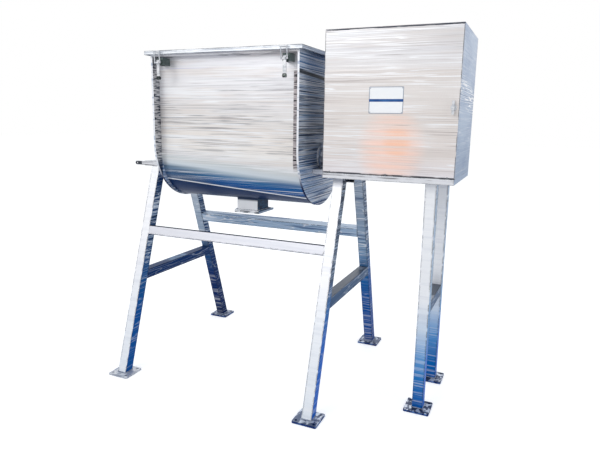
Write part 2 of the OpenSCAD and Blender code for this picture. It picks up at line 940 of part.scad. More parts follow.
module ribbon(x, dir, hand, r_out, w) {
    rings = [for (i = [0 : ribbon_steps])
        each ribbon_ring(dir * i * ribbon_run / ribbon_steps, dir * ribbon_t / 2,
                         r_out - w, r_out, ribbon_angle(i, hand))];
    flip = dir * hand < 0;
    sides = [for (i = [0 : ribbon_steps - 1], k = [0 : 3])
        let (a = 4 * i + k, b = 4 * i + (k + 1) % 4)
        each flip ? [[a, b, b + 4], [a, b + 4, a + 4]] : [[b + 4, b, a], [a + 4, b + 4, a]]];
    last = 4 * ribbon_steps;
    ends = flip ? [[3, 2, 1, 0], [last, last + 1, last + 2, last + 3]]
                : [[0, 1, 2, 3], [last + 3, last + 2, last + 1, last]];
    translate([x, 0, shaft_z])
        polyhedron(points = rings, faces = concat(sides, ends), convexity = 6);
}

ribbon_left_x = trough_x + ribbon_end_gap + ribbon_t / 2;
ribbon_right_x = plate_right_x - ribbon_end_gap - ribbon_t / 2;
outer_ribbon_r = trough_r - ribbon_gap;

module outer_ribbon_left() { color(bright) ribbon(ribbon_left_x, 1, 1, outer_ribbon_r, outer_ribbon_w); }
module outer_ribbon_right() { color(bright) ribbon(ribbon_right_x, -1, 1, outer_ribbon_r,
                                                   outer_ribbon_w); }

module inner_ribbons() {
    color(bright) {
        ribbon(ribbon_left_x, 1, -1, inner_ribbon_r, inner_ribbon_w);
        ribbon(ribbon_right_x, -1, -1, inner_ribbon_r, inner_ribbon_w);
    }
}

// Arms at each quarter turn: out to the outer ribbon, and where the inner ribbon is on
// the other side, a short arm to it
arm_sink = 3;

module arm(a, r_end) {
    rotate([-a, 0, 0])
        translate([0, 0, core_d / 2 - arm_sink])
            cylinder(h = r_end - core_d / 2 + 2 * arm_sink, d = arm_d, $fn = 32);
}

module agitator_arms() {
    color(bright)
        for (end = [[ribbon_left_x, 1], [ribbon_right_x, -1]], q = [0 : 4])
            translate([end[0] + end[1] * q * ribbon_run / 4, 0, shaft_z]) {
                arm(q * 90, outer_ribbon_r - outer_ribbon_w);
                if (q % 2 == 1)
                    arm(q * 90 + 180, inner_ribbon_r - inner_ribbon_w);
            }
}

// Bearings

insert_inner_r = 33;
insert_lip = 2;

module at_bearings() {
    for (x = [left_bearing_x, right_bearing_x])
        translate([x, 0, deck_z])
            children();
}

module bearing_housings() {
    body_half = block_len * 0.3;
    color(cast)
        at_bearings()
            difference() {
                union() {
                    block(-block_w / 2, -block_len / 2, 0, block_w, block_len, block_foot_t);
                    along_x(-block_w * 0.4, block_w * 0.8)
                        polygon([
                            [-body_half, 0], [body_half, 0],
                            [block_body_r * cos(30), bearing_h + block_body_r * sin(30) - block_foot_t],
                            [-block_body_r * cos(30), bearing_h + block_body_r * sin(30) - block_foot_t]
                        ]);
                    rod_x(-block_w * 0.4, 0, bearing_h, block_w * 0.8, block_body_r);
                }
                rod_x(-block_w, 0, bearing_h, 2 * block_w, block_bore_r);
                for (s = [-1, 1])
                    translate([0, s * block_bolt_pitch / 2, -cut])
                        cylinder(h = block_foot_t + 2 * cut, d = block_bolt_d + cut);
            }
}

module bearing_outer_rings() {
    color(dark_steel)
        at_bearings()
            translate([0, 0, bearing_h])
                ring_x(-insert_w / 2, insert_w, block_bore_r, insert_inner_r + run_gap);
}

module bearing_inner_rings() {
    color(bright)
        at_bearings()
            translate([0, 0, bearing_h])
                ring_x(-insert_w / 2 - insert_lip, insert_w + 2 * insert_lip + shaft_d / 5,
                       insert_inner_r, shaft_d / 2);
}

// Bolts of both bearings and of the gearbox feet
module hold_down_bolts() {
    color(bright) {
        for (b = [[left_bearing_x, shelf_skin], [right_bearing_x, deck_t]], s = [-1, 1])
            translate([b[0], s * block_bolt_pitch / 2, deck_z + block_foot_t])
                mirror([0, 0, 1])
                    bolt(block_bolt_d, block_foot_t + b[1]);
        gear_bolt_places()
            translate([0, 0, platform_z + gear_foot_t])
                mirror([0, 0, 1])
                    bolt(gear_bolt_d, gear_foot_t + platform_t);
    }
}

// Belt drive

small_belt_r = big_belt_r / belt_ratio;
output_z = shaft_z + belt_centres;
// Lean of the straight runs, from the two pitch radii and the distance between them
belt_lean = asin((big_belt_r - small_belt_r) / belt_centres);
belt_flank = 19;
belt_wall = 3;
belt_pitch = belt_w + belt_wall;
pulley_half = belt_pitch + belt_wall * 0.7;
groove_gap = 2.5;
// The straight runs are this much slimmer than the wraps and reach this far into them
seam_step = 0.05;
seam_lap = 0.5;
output_shaft_r = 20;

// Half of a belt's width at height h over its pitch line
function belt_half(h) = belt_w / 2 - (belt_t / 2 - h) * tan(belt_flank);

// Wedge across a belt or a groove, from height low to high, drawn at radius r
module wedge_section(r, low, high, grow) {
    polygon([
        [r + low, -belt_half(low) - grow],
        [r + high, -belt_half(high) - grow],
        [r + high, belt_half(high) + grow],
        [r + low, belt_half(low) + grow]
    ]);
}

module belt_section(r, inset = 0) {
    wedge_section(r, inset - belt_t / 2, belt_t / 2 - inset, -inset);
}

module pulley(r, bore_r) {
    rim_in = r - belt_t / 2 - groove_gap - belt_t;
    hub_r = bore_r + belt_w;
    difference() {
        rod_x(-pulley_half, 0, 0, 2 * pulley_half, r + belt_t / 2, $fn = 96);
        for (s = [-1, 1])
            translate([s * belt_pitch / 2, 0, 0])
                rotate([0, 90, 0])
                    rotate_extrude($fn = 96)
                        wedge_section(r, -belt_t / 2 - groove_gap, belt_t / 2 + cut, seat_gap);
        if (rim_in > hub_r + belt_t)
            for (x = [-pulley_half - cut, pulley_half / 2])
                difference() {
                    rod_x(x, 0, 0, pulley_half / 2 + cut, rim_in, $fn = 96);
                    rod_x(x - cut, 0, 0, pulley_half / 2 + 3 * cut, hub_r);
                }
        rod_x(-pulley_half - cut, 0, 0, 2 * pulley_half + 2 * cut, bore_r);
    }
}

module shaft_pulley() {
    color(cast)
        translate([belt_x, 0, shaft_z])
            pulley(big_belt_r, shaft_d / 2);
}

module drive_pulley() {
    color(cast)
        translate([belt_x, 0, output_z])
            pulley(small_belt_r, output_shaft_r);
}

// Round one pulley: from an angle off straight down, over a swept angle
module belt_wrap(r, start, swept) {
    rotate([0, 90, 0])
        rotate([0, 0, start])
            rotate_extrude(angle = swept, $fn = 96)
                belt_section(r);
}

module drive_belt() {
    belt_wrap(big_belt_r, -90 - belt_lean, 180 + 2 * belt_lean);
    translate([0, 0, belt_centres])
        belt_wrap(small_belt_r, 90 + belt_lean, 180 - 2 * belt_lean);
    for (side = [0, 1])
        mirror([0, side, 0])
            rotate([belt_lean, 0, 0])
                translate([0, 0, -seam_lap])
                    rotate([0, 0, 90])
                        linear_extrude(belt_centres * cos(belt_lean) + 2 * seam_lap)
                            belt_section(big_belt_r, seam_step);
}

module drive_belts() {
    color(rubber)
        for (s = [-1, 1])
            translate([belt_x + s * belt_pitch / 2, 0, shaft_z])
                drive_belt();
}

// Geared motor on its platform

gear_h = 125;
platform_t = 10;
platform_z = output_z - gear_h;
platform_half = 146;
post = 40;
gear_gap = 40;
gear_x = belt_x + gear_gap;
gear_len = 132;
gear_half = 78;
gear_foot_half = 105;
gear_foot_t = 18;
gear_top = 88;
motor_r = 82;
motor_fin = 12;
motor_shield = 22;
cowl_len = 58;
// Room for the cooling air between the cowl and the side panel
cowl_gap = 20;
motor_x = gear_x + gear_len + gear_foot_t;
motor_len = box_end_x - box_sheet - cowl_gap - cowl_len - motor_x;
terminal = 92;
gear_bolt_d = 12;

module gear_bolt_places() {
    for (sx = [-1, 1], sy = [-1, 1])
        translate([gear_x + gear_len / 2 + sx * (gear_len / 2 - gear_foot_t),
                   sy * (gear_half + gear_foot_half) / 2, 0])
            children();
}

module gearbox() {
    x = gear_x;
    color(cast)
        difference() {
            union() {
                block(x, -gear_foot_half, platform_z, gear_len, 2 * gear_foot_half, gear_foot_t);
                block(x, -gear_half, platform_z, gear_len, 2 * gear_half, gear_h);
                rod_x(x, 0, output_z, gear_len, gear_top);
                rod_x(x - gear_foot_t, 0, output_z, gear_foot_t, output_shaft_r * 2);
                rod_x(x + gear_len, 0, output_z, gear_foot_t, motor_r + motor_fin);
            }
            rod_x(x - gear_foot_t - cut, 0, output_z, gear_foot_t + gear_len / 2 + cut,
                  output_shaft_r + run_gap);
            gear_bolt_places()
                translate([0, 0, platform_z - cut])
                    cylinder(h = gear_foot_t + 2 * cut, d = gear_bolt_d + cut);
        }
}

module gearbox_shaft() {
    x = belt_x - pulley_half;
    color(bright)
        rod_x(x, 0, output_z, gear_x + gear_len / 2 - x - cut, output_shaft_r);
}

module motor() {
    x = motor_x;
    fins = 28;
    color(cast) {
        along_x(x, motor_len)
            translate([0, output_z]) {
                circle(r = motor_r - motor_fin);
                for (i = [0 : fins - 1])
                    rotate(i * 360 / fins)
                        translate([0, -motor_fin / 8])
                            square([motor_r, motor_fin / 4]);
            }
        for (e = [0, motor_len - motor_shield])
            rod_x(x + e, 0, output_z, motor_shield, motor_r);
        rod_x(x + motor_len, 0, output_z, cowl_len, motor_r + motor_fin / 2);
        block(x + motor_shield, -terminal / 2, output_z + motor_r / 2, terminal, terminal, motor_r);
    }
}

platform_x = gear_x - gear_foot_t / 2;
platform_len = drive_pitch + mid_x + tube - platform_x;

module motor_platform() {
    color(steel)
        difference() {
            block(platform_x, -platform_half, platform_z - platform_t, platform_len,
                  2 * platform_half, platform_t);
            gear_bolt_places()
                translate([0, 0, platform_z - platform_t - cut])
                    cylinder(h = platform_t + 2 * cut, d = gear_bolt_d + cut);
        }
}

module platform_posts() {
    color(steel)
        for (px = [platform_x, platform_x + platform_len - post], sy = [-1, 1])
            block(px, sy < 0 ? -platform_half : platform_half - post, deck_z,
                  post, post, platform_z - platform_t - deck_z);
}

// Drive box

cover_gap = 3;
cover_front = -box_half + door_depth + 2 * box_sheet;
shaft_hole_r = shaft_d * 0.7;
louvre_rows = 9;
louvre_cols = 2;
louvre_w = 150;
louvre_h = 7;
louvre_pitch = 24;

// Side panels, with the strike behind which the latch's cam turns
module cover_sides() {
    h = box_h - box_sheet;
    color(steel) {
        difference() {
            block(box_x, cover_front, deck_z, box_sheet, box_half - cover_front, h);
            rod_x(box_x - cut, 0, shaft_z, box_sheet + 2 * cut, shaft_hole_r);
        }
        block(box_end_x - box_sheet, cover_front, deck_z, box_sheet, box_half - cover_front, h);
        block(box_end_x - box_sheet - strike_w, cover_front, door_latch_z - strike_h / 2,
              strike_w, strike_t, strike_h);
    }
}

// Top panel over the door too, with the upper door pin
module cover_top() {
    color(steel) {
        block(box_x, -box_half, box_top_z - box_sheet, box_len, box_depth, box_sheet);
        translate([door_pin_x, door_pin_y, door_high_z - door_pin_len + door_pin_play])
            cylinder(h = box_top_z - box_sheet / 2 - door_high_z + door_pin_len - door_pin_play,
                     r = door_pin_r, $fn = 32);
    }
}

// Rear panel between the sides, with louvres at the motor's height
module rear_panel() {
    color(steel)
        difference() {
            block(box_x + box_sheet, box_half - box_sheet, deck_z, box_len - 2 * box_sheet,
                  box_sheet, box_h - box_sheet);
            rod_y(cable_x, box_half - box_sheet - cut, cable_z, box_sheet + 2 * cut, cable_thread_r);
            for (c = [0 : louvre_cols - 1], r = [0 : louvre_rows - 1])
                block(box_x + box_len * (c + 1) / (louvre_cols + 1) - louvre_w / 2,
                      box_half - box_sheet - cut,
                      output_z + (r - (louvre_rows - 1) / 2) * louvre_pitch, louvre_w,
                          box_sheet + 2 * cut, louvre_h);
        }
}

// Cable gland of the motor, low at the rear
cable_in = 60;
cable_rise = 70;
cable_x = drive_x - cable_in;
cable_z = deck_z + cable_rise;
cable_thread_r = 12;
cable_bore_r = 8;
cable_hex_d = 36;
cable_cap_r = 15;
cable_len = 18;

module cable_gland() {
    color(rubber)
        difference() {
            union() {
                rod_y(cable_x, box_half - box_sheet - cable_len / 2, cable_z, cable_len, cable_thread_r);
                rod_y(cable_x, box_half, cable_z, cable_len / 2, cable_hex_d / 2, $fn = 6);
                rod_y(cable_x, box_half - box_sheet - cable_len / 3, cable_z, cable_len / 3,
                      cable_hex_d / 2, $fn = 6);
                rod_y(cable_x, box_half + cable_len / 2, cable_z, cable_len, cable_cap_r);
            }
            rod_y(cable_x, box_half - cable_len, cable_z, 4 * cable_len, cable_bore_r);
        }
}

door_low_z = deck_z + cover_gap;
door_high_z = box_top_z - box_sheet - cover_gap;
door_pin_r = 4;
door_pin_in = 7;
door_pin_deep = 8.5;
door_pin_len = 12;
door_pin_play = 1;
door_collar_r = 6;
door_pin_x = box_x + door_pin_in;
door_pin_y = -box_half + door_pin_deep;
door_boss = 14;
strike_w = 12;
strike_h = 50;
strike_t = 3;
latch_in = 22;
door_latch_x = box_end_x - latch_in;
door_latch_z = deck_z + box_h * 0.47;
latch_spindle_r = 7;

module door() {
    h = door_high_z - door_low_z;
    color(bright)
        difference() {
            union() {
                difference() {
                    block(box_x, -box_half, door_low_z, box_len, door_depth, h);
                    block(box_x + box_sheet, -box_half + box_sheet, door_low_z + box_sheet,
                          box_len - 2 * box_sheet, door_depth, h - 2 * box_sheet);
                }
                for (z = [door_low_z, door_high_z - door_boss])
                    block(box_x, -box_half, z, door_boss, door_depth, door_boss);
            }
            for (z = [door_low_z - cut, door_high_z - door_pin_len])
                translate([door_pin_x, door_pin_y, z])
                    cylinder(h = door_pin_len + cut, r = door_pin_r + run_gap, $fn = 32);
            rod_y(door_latch_x, -box_half - cut, door_latch_z, box_sheet + 2 * cut,
                  latch_spindle_r + run_gap);
        }
}

latch_rose_r = 13;
latch_bar_len = 56;
latch_bar_w = 10;
latch_bar_out = 16;
cam_reach = 17;
cam_gap = 0.5;
cam_t = 4;

// Turning latch: rose and bar in front of the door, cam behind its skin
module door_latch() {
    y = -box_half - seat_gap;
    cam_y = cover_front + strike_t + cam_gap;
    color(dark_steel) {
        rod_y(door_latch_x, y - latch_rose_r / 3, door_latch_z, latch_rose_r / 3, latch_rose_r);
        rod_y(door_latch_x, y - latch_bar_out, door_latch_z, cam_y - y + latch_bar_out + cam_t,
              latch_spindle_r);
        block(door_latch_x - latch_bar_w / 2, y - latch_bar_out - latch_bar_w / 2,
              door_latch_z - latch_bar_len / 2,
              latch_bar_w, latch_bar_w, latch_bar_len);
        block(door_latch_x - latch_bar_w / 2, cam_y, door_latch_z, latch_bar_w, cam_t, cam_reach);
    }
}

leg_left_front();
leg_left_rear();
leg_mid_front();
leg_mid_rear();
drive_legs();
foot_plates();
rail_front();
rail_rear();
brace_left();
brace_mid();
brace_drive();
bearing_shelf();
drive_deck();
cross_tube();
trough_bracket();
trough_shell();
end_plate_left();
end_plate_right();
rim_angles();
lid_gasket();
discharge_chute();
gate_frame();
slide_gate();
gate_bolts();
seal_housings();
seal_packing();
seal_glands();
seal_bolts();
lid();
lid_hinge_brackets();
lid_hinge_pins();
latch_bases();
latch_keepers();
latch_lever_left();
latch_lever_right();
latch_loop_left();
latch_loop_right();
agitator_shaft();
agitator_arms();
outer_ribbon_left();
outer_ribbon_right();
inner_ribbons();
bearing_housings();
bearing_outer_rings();
bearing_inner_rings();
hold_down_bolts();
shaft_pulley();
drive_pulley();
drive_belts();
gearbox();
gearbox_shaft();
motor();
motor_platform();
platform_posts();
cover_sides();
cover_top();
rear_panel();
cable_gland();
door();
door_latch();
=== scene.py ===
"""Looks of the mass mixer: polished steel under stretched film streaks, with shade and a blue
floor reflection painted into its colours, on a white floor.
"""

import math

import bmesh
import bpy
from mathutils import Matrix, Vector


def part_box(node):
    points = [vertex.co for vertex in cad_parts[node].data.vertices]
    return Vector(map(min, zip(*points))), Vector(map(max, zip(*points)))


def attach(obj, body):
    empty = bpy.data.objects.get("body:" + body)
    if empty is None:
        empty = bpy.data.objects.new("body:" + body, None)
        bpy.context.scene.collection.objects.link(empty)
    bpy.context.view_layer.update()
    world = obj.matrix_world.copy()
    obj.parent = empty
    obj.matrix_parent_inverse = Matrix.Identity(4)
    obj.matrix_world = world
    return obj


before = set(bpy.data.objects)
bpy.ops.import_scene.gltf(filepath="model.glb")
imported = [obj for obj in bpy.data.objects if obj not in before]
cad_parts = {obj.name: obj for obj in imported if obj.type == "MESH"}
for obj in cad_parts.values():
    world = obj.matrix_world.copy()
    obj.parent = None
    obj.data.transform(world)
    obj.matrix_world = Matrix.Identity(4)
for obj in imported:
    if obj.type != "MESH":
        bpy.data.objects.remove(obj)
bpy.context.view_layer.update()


# Colours

def linear(r, g, b):
    """Linear colour from 0-255 screen values, in which the finishes' colours are written."""
    def one(c):
        c /= 255
        return c / 12.92 if c <= 0.04045 else ((c + 0.055) / 1.055) ** 2.4
    return (one(r), one(g), one(b), 1.0)


WARM = (226, 216, 209)
WHITE = (246, 247, 250)
# NAVY, SLATE and BLACK are dark tones for painted shade and dark streaks; DEEP and VIVID are the
# blues of a painted blue floor reflection.
NAVY = (14, 38, 74)
SLATE = (62, 90, 126)
DEEP = (6, 84, 158)
VIVID = (6, 102, 208)
BLACK = (12, 18, 30)
INK = (34, 42, 60)

# Front of the legs that stand towards the viewer: colours over height
PLAIN_FRONT = [(0.0, (230, 236, 244)), (0.4, (236, 240, 246)), (0.6, (242, 243, 248)),
               (1.12, (248, 249, 252))]


# Places of lines and bands that the finishes draw, in metres

FALL = 0.08  # slope of the film lines over the trough's bottom
CHORD_RIGHT_X, CHORD_RIGHT_Z, CHORD_WIDTH = 0.255, 1.003, 0.0064
SCORED = (1.12, 1.24, 1.42, 1.60)  # scores grow, are full, fade and end at these heights
SHEET_LINE = (1.5985, 1.6005)
# Painted shadow under the lid's skirt, over Z
LID_SHADOW_BAND = (1.652, 1.659)
# Painted dashed reflection of the right end plate in the bright sheet
DASHED_BAND = (0.132, 0.154)  # over X, before the right end plate
PLATE_SLOPE, PLATE_BLACK, PLATE_LINE = 0.05, (1.548, 1.564), (1.568, 1.572)
PLATE_STRIP = (-0.240, -0.246)  # over Y, in front of the shell
BUNDLE_SLOPE, BUNDLE = 0.13, (1.42, 1.52)
BOX_REAR = (0.232, 0.240)  # over Y
# Painted warm highlight on the door
GLOW = (0.60, 1.235, 0.17, 0.20)  # middle in X and Z, and reach along both
GLOW_CORE = (0.625, 1.265, 0.075, 0.085)
# Painted shadow line at the top of the chute's front, under the trough, over Z
CHUTE_SHADOW_LINE = (0.915, 0.930)
CHUTE_FLANGE = (0.8670, 0.8650)  # over Z, downwards
CHUTE_DASHES = (0.8675, 0.8655)
SKIRT_TOP = (1.6770, 1.6785)
SKIRT_FOOT = (1.6655, 1.6640)
LEVER_RING = (1.540, 1.558)
SHELF_END = (-0.832, -0.838)  # over X
RAIL_DARK_Z = 0.7722
BLUE_REFLECTION_TOP_Z = 0.45  # the painted blue floor reflection on the legs' feet ends here


# Materials

class Paint:
    """A procedural material whose nodes read the place and the facing of the surface."""

    def __init__(self, name, roughness=0.34, metallic=0.35, coat=0.0, specular=0.15):
        self.mat = bpy.data.materials.new(name)
        self.mat.use_nodes = True
        self.tree = self.mat.node_tree
        self.tree.nodes.clear()
        self.out = self.add("ShaderNodeOutputMaterial")
        self.bsdf = self.add("ShaderNodeBsdfPrincipled")
        self.link(self.bsdf.outputs[0], self.out.inputs["Surface"])
        self.feed(self.bsdf.inputs["Roughness"], roughness)
        self.feed(self.bsdf.inputs["Metallic"], metallic)
        self.feed(self.bsdf.inputs["Coat Weight"], coat)
        self.feed(self.bsdf.inputs["Coat Roughness"], 0.12)
        self.feed(self.bsdf.inputs["Specular IOR Level"], specular)
        self.coord = self.add("ShaderNodeTexCoord")
        self.place = self.split(self.coord.outputs["Object"])
        self.facing = self.split(self.coord.outputs["Normal"])

    def add(self, kind, **props):
        node = self.tree.nodes.new(kind)
        for k, v in props.items():
            setattr(node, k, v)
        return node

    def link(self, a, b):
        self.tree.links.new(a, b)

    def feed(self, socket, value):
        """Link or set an input, from an output, a number or a colour."""
        if isinstance(value, bpy.types.NodeSocket):
            self.link(value, socket)
        else:
            socket.default_value = linear(*value) if isinstance(value, tuple) else value

    def split(self, vector):
        node = self.add("ShaderNodeSeparateXYZ")
        self.link(vector, node.inputs[0])
        return {"x": node.outputs[0], "y": node.outputs[1], "z": node.outputs[2]}

    def math(self, op, a, b=0.0, c=0.0, clamp=False):
        node = self.add("ShaderNodeMath", operation=op, use_clamp=clamp)
        for i, v in enumerate((a, b, c)):
            self.feed(node.inputs[i], v)
        return node.outputs[0]

    def times(self, *masks):
        product = masks[0]
        for m in masks[1:]:
            product = self.math("MULTIPLY", product, m)
        return product

    def span(self, value, low, high):
        """0 at low to 1 at high, clamped and smooth. low may be the larger."""
        node = self.add("ShaderNodeMapRange", interpolation_type="SMOOTHSTEP")
        self.feed(node.inputs["Value"], value)
        node.inputs["From Min"].default_value = low
        node.inputs["From Max"].default_value = high
        node.inputs["To Min"].default_value = 0.0
        node.inputs["To Max"].default_value = 1.0
        return node.outputs[0]

    def band(self, value, low, high, soft=0.004):
        """Mask of the values between low and high."""
        return self.times(self.span(value, low - soft / 2, low + soft / 2),
                          self.span(value, high + soft / 2, high - soft / 2))

    def slope(self, up, along, share):
        """Place on one axis, sheared by the place on another."""
        return self.math("MULTIPLY_ADD", self.place[along], share, self.place[up])

    def ramp(self, value, stops):
        """Colour ramp over value in metres or shares: stops are (value, colour), rising."""
        low, high = stops[0][0], stops[-1][0]
        node = self.add("ShaderNodeValToRGB")
        share = self.math("DIVIDE", self.math("SUBTRACT", value, low), high - low, clamp=True)
        self.link(share, node.inputs[0])
        els = node.color_ramp.elements
        while len(els) < len(stops):
            els.new(0.5)
        for e, (v, c) in zip(els, stops):
            e.position = (v - low) / (high - low)
            e.color = linear(*c)
        return node.outputs[0]

    def mix(self, fac, a, b):
        node = self.add("ShaderNodeMix", data_type="RGBA")
        self.feed(node.inputs[0], fac)
        self.feed(node.inputs[6], a)
        self.feed(node.inputs[7], b)
        return node.outputs[2]

    def noise(self, scale, seed, tilt, detail):
        """Stretched noise: scale is the pattern's fineness along X, Y and Z."""
        mapping = self.add("ShaderNodeMapping")
        self.link(self.coord.outputs["Object"], mapping.inputs["Vector"])
        mapping.inputs["Rotation"].default_value = (tilt[0], tilt[1], 0.0)
        mapping.inputs["Scale"].default_value = scale
        mapping.inputs["Location"].default_value = (seed, 1.7 * seed, 2.3 * seed)
        noise = self.add("ShaderNodeTexNoise")
        self.link(mapping.outputs[0], noise.inputs["Vector"])
        noise.inputs["Scale"].default_value = 1.0
        noise.inputs["Detail"].default_value = detail
        noise.inputs["Roughness"].default_value = 0.6
        return noise.outputs["Fac"]

    def streaks(self, scale, low, high, seed, tilt=(0.02, 0.03), detail=3.0):
        """Mask of stretched streaks, where the noise is over low to high."""
        return self.span(self.noise(scale, seed, tilt, detail), low, high)

    def wrinkles(self, scale, width, seed, tilt=(0.02, 0.03)):
        """Mask of hair-thin lines, where the noise crosses its middle."""
        noise = self.noise(scale, seed, tilt, 1.5)
        away = self.math("ABSOLUTE", self.math("SUBTRACT", noise, 0.5))
        return self.span(away, width, width * 0.35)

    def mask(self, axis, sign, low=0.5, high=0.85):
        """How far the surface faces along an axis."""
        return self.span(self.math("MULTIPLY", self.facing[axis], sign), low, high)

    def edges(self, radius=0.003):
        """Mask of the strip along sharp edges."""
        bevel = self.add("ShaderNodeBevel", samples=4)
        bevel.inputs["Radius"].default_value = radius
        flat = self.add("ShaderNodeNewGeometry")
        dot = self.add("ShaderNodeVectorMath", operation="DOT_PRODUCT")
        self.link(bevel.outputs[0], dot.inputs[0])
        self.link(flat.outputs["True Normal"], dot.inputs[1])
        return self.span(dot.outputs["Value"], 0.995, 0.93)

    def bump(self, height, strength, distance=0.002):
        node = self.add("ShaderNodeBump")
        node.inputs["Strength"].default_value = strength
        node.inputs["Distance"].default_value = distance
        self.link(height, node.inputs["Height"])
        self.link(node.outputs[0], self.bsdf.inputs["Normal"])
        return node

    def rounded(self, node, radius):
        """Soft highlight along sharp sheet and tube edges, under the bump."""
        bevel = self.add("ShaderNodeBevel", samples=4)
        bevel.inputs["Radius"].default_value = radius
        self.link(bevel.outputs[0], node.inputs["Normal"])

    def colour(self, value):
        self.link(value, self.bsdf.inputs["Base Color"])


def film_bump(p, strength=0.25):
    """Fine lengthwise wrinkles of the film and the sheet's slow waves."""
    fine = p.streaks((2.0, 2.0, 160.0), 0.3, 0.7, seed=4.0, detail=4.0)
    slow = p.streaks((3.0, 3.0, 7.0), 0.2, 0.8, seed=9.0, detail=1.0)
    both = p.math("ADD", p.times(fine, 0.5), slow)
    p.rounded(p.bump(both, strength), 0.002)


def dashed_edges(p, colour, seed, amount=0.75, radius=0.003, fineness=26.0):
    """Broken dark line along the sheet's cut edges."""
    broken = p.streaks((fineness,) * 3, 0.36, 0.52, seed=seed, tilt=(0.4, 0.3), detail=2.0)
    return p.mix(p.times(p.edges(radius), broken, amount), colour, INK)


def trough_sheet():
    """Front pale with warm streaks; the rounded bottom falls to deep blue, a painted reflection
    of a blue floor.
    """
    p = Paint("trough_sheet", roughness=0.32, metallic=0.4)
    x, z = p.place["x"], p.place["z"]
    fall = p.math("MULTIPLY_ADD", x, FALL, p.math("ADD", z, 0.02))
    body = p.ramp(fall, [
        (0.90, (0, 42, 98)), (0.985, (0, 58, 124)), (1.03, (2, 92, 164)), (1.05, (44, 114, 170)),
        (1.066, (116, 146, 176)), (1.08, (176, 192, 204)), (1.095, (216, 224, 231)),
        (1.125, (212, 218, 220)), (1.15, (236, 235, 236)), (1.18, (244, 241, 238)),
        (1.26, (238, 232, 227)), (1.36, (228, 224, 222)), (1.46, (232, 230, 232)),
        (1.60, (238, 238, 242)), (1.68, (238, 237, 242))])
    # Painted reflection on the rounded bottom: blue-grey to the left, brighter blue in the middle
    low = p.span(fall, 1.10, 1.05)
    body = p.mix(p.times(low, p.span(x, -0.20, -0.55), 0.75), body, (66, 88, 114))
    body = p.mix(p.times(low, p.span(x, -0.12, 0.12), 0.6), body, (4, 88, 160))
    upper = p.span(fall, 1.09, 1.15)
    warm = p.streaks((1.6, 1.6, 22.0), 0.46, 0.66, seed=1.0)
    body = p.mix(p.times(warm, upper, 0.5), body, WARM)
    # Hair-thin dark and white scores, denser at mid height
    start, full, fade, end = SCORED
    band = p.times(p.span(z, start, full), p.span(z, end, fade))
    # Rows of lines here and below: fineness over height, width and amount or colour
    scores = ((44.0, 0.016, 0.6), (80.0, 0.02, 0.5), (130.0, 0.03, 0.4))
    for k, (fine, width, amount) in enumerate(scores):
        here = p.streaks((3.0, 3.0, 12.0), 0.44, 0.56, seed=2.0 + 5 * k, detail=2.0)
        line = p.wrinkles((0.35 + 0.3 * k, 0.35, fine), width, seed=40.0 + 5 * k)
        share = p.math("MULTIPLY_ADD", band, amount, 0.14)
        body = p.mix(p.times(line, here, upper, share), body, (112, 112, 122))
    grey = p.streaks((0.8, 0.8, 130.0), 0.55, 0.66, seed=2.0, detail=3.0)
    share = p.math("MULTIPLY_ADD", band, 0.35, 0.08)
    body = p.mix(p.times(grey, upper, share), body, (160, 160, 166))
    for k, (fine, width) in enumerate(((34.0, 0.012), (62.0, 0.018), (110.0, 0.03))):
        here = p.streaks((2.4, 2.4, 9.0), 0.42, 0.54, seed=3.0 + 7 * k, detail=2.0)
        light = p.wrinkles((0.3 + 0.25 * k, 0.3, fine), width, seed=60.0 + 7 * k)
        body = p.mix(p.times(light, here, upper, 0.9), body, WHITE)
    # Film streaks over the painted blue reflection, falling to the right as the film does
    tilted = (0.02, -0.075)
    films = ((40.0, 0.03, NAVY), (60.0, 0.018, (150, 184, 216)), (36.0, 0.010, WHITE),
             (90.0, 0.02, WHITE))
    for k, (fine, width, tone) in enumerate(films):
        here = p.streaks((2.0, 2.0, 14.0), 0.40, 0.56, seed=16.0 + 3 * k, tilt=tilted, detail=2.0)
        streak = p.wrinkles((0.35, 0.35, fine), width, seed=80.0 + 3 * k, tilt=tilted)
        body = p.mix(p.times(streak, here, low, 0.75), body, tone)
    # White film line across the bottom of the front, and a darker painted blue reflection below
    # it
    chord = p.math("MULTIPLY_ADD", x, FALL,
                   p.math("ADD", z, FALL * CHORD_RIGHT_X - CHORD_RIGHT_Z))
    under = p.times(p.span(chord, 0.0, -0.002), p.mask("y", 1.0, -0.05, -0.3), 0.95)
    body = p.mix(under, body, (0, 44, 92))
    broken = p.math("MULTIPLY_ADD", p.streaks((9.0, 9.0, 9.0), 0.30, 0.44, seed=5.0), 0.3, 0.7)
    line = p.band(chord, -CHORD_WIDTH / 2, CHORD_WIDTH / 2, 0.002)
    body = p.mix(p.times(line, broken), body, WHITE)
    # Thin bright line at the top of the front, and a painted dark shadow line under the lid
    line = p.times(p.band(z, *SHEET_LINE, 0.002), p.span(x, -0.20, -0.50), 0.7)
    body = p.mix(line, body, (176, 178, 220))
    lid_shadow_streaks = p.streaks((5.0, 5.0, 60.0), 0.46, 0.58, seed=8.0)
    body = p.mix(p.times(p.band(z, *LID_SHADOW_BAND, 0.004), lid_shadow_streaks, 0.7), body, (112, 116, 128))
    # Dashed dark band before the right end plate: a painted reflection of the plate in the bright
    # sheet
    side = p.band(x, *DASHED_BAND)
    tall = p.times(p.span(z, 1.10, 1.14), p.span(z, 1.578, 1.572))
    dash = p.streaks((14.0, 0.1, 150.0), 0.40, 0.54, seed=7.0, tilt=(0.0, 0.0), detail=2.0)
    front = p.mask("y", -1.0, 0.3, 0.6)
    body = p.mix(p.times(side, tall, front), body, p.mix(dash, BLACK, (186, 178, 180)))
    # Painted shade on the faces turned to the rear
    body = p.mix(p.times(p.mask("y", 1.0), upper, 0.35), body, (204, 212, 228))
    p.colour(body)
    film_bump(p, 0.2)
    return p.mat


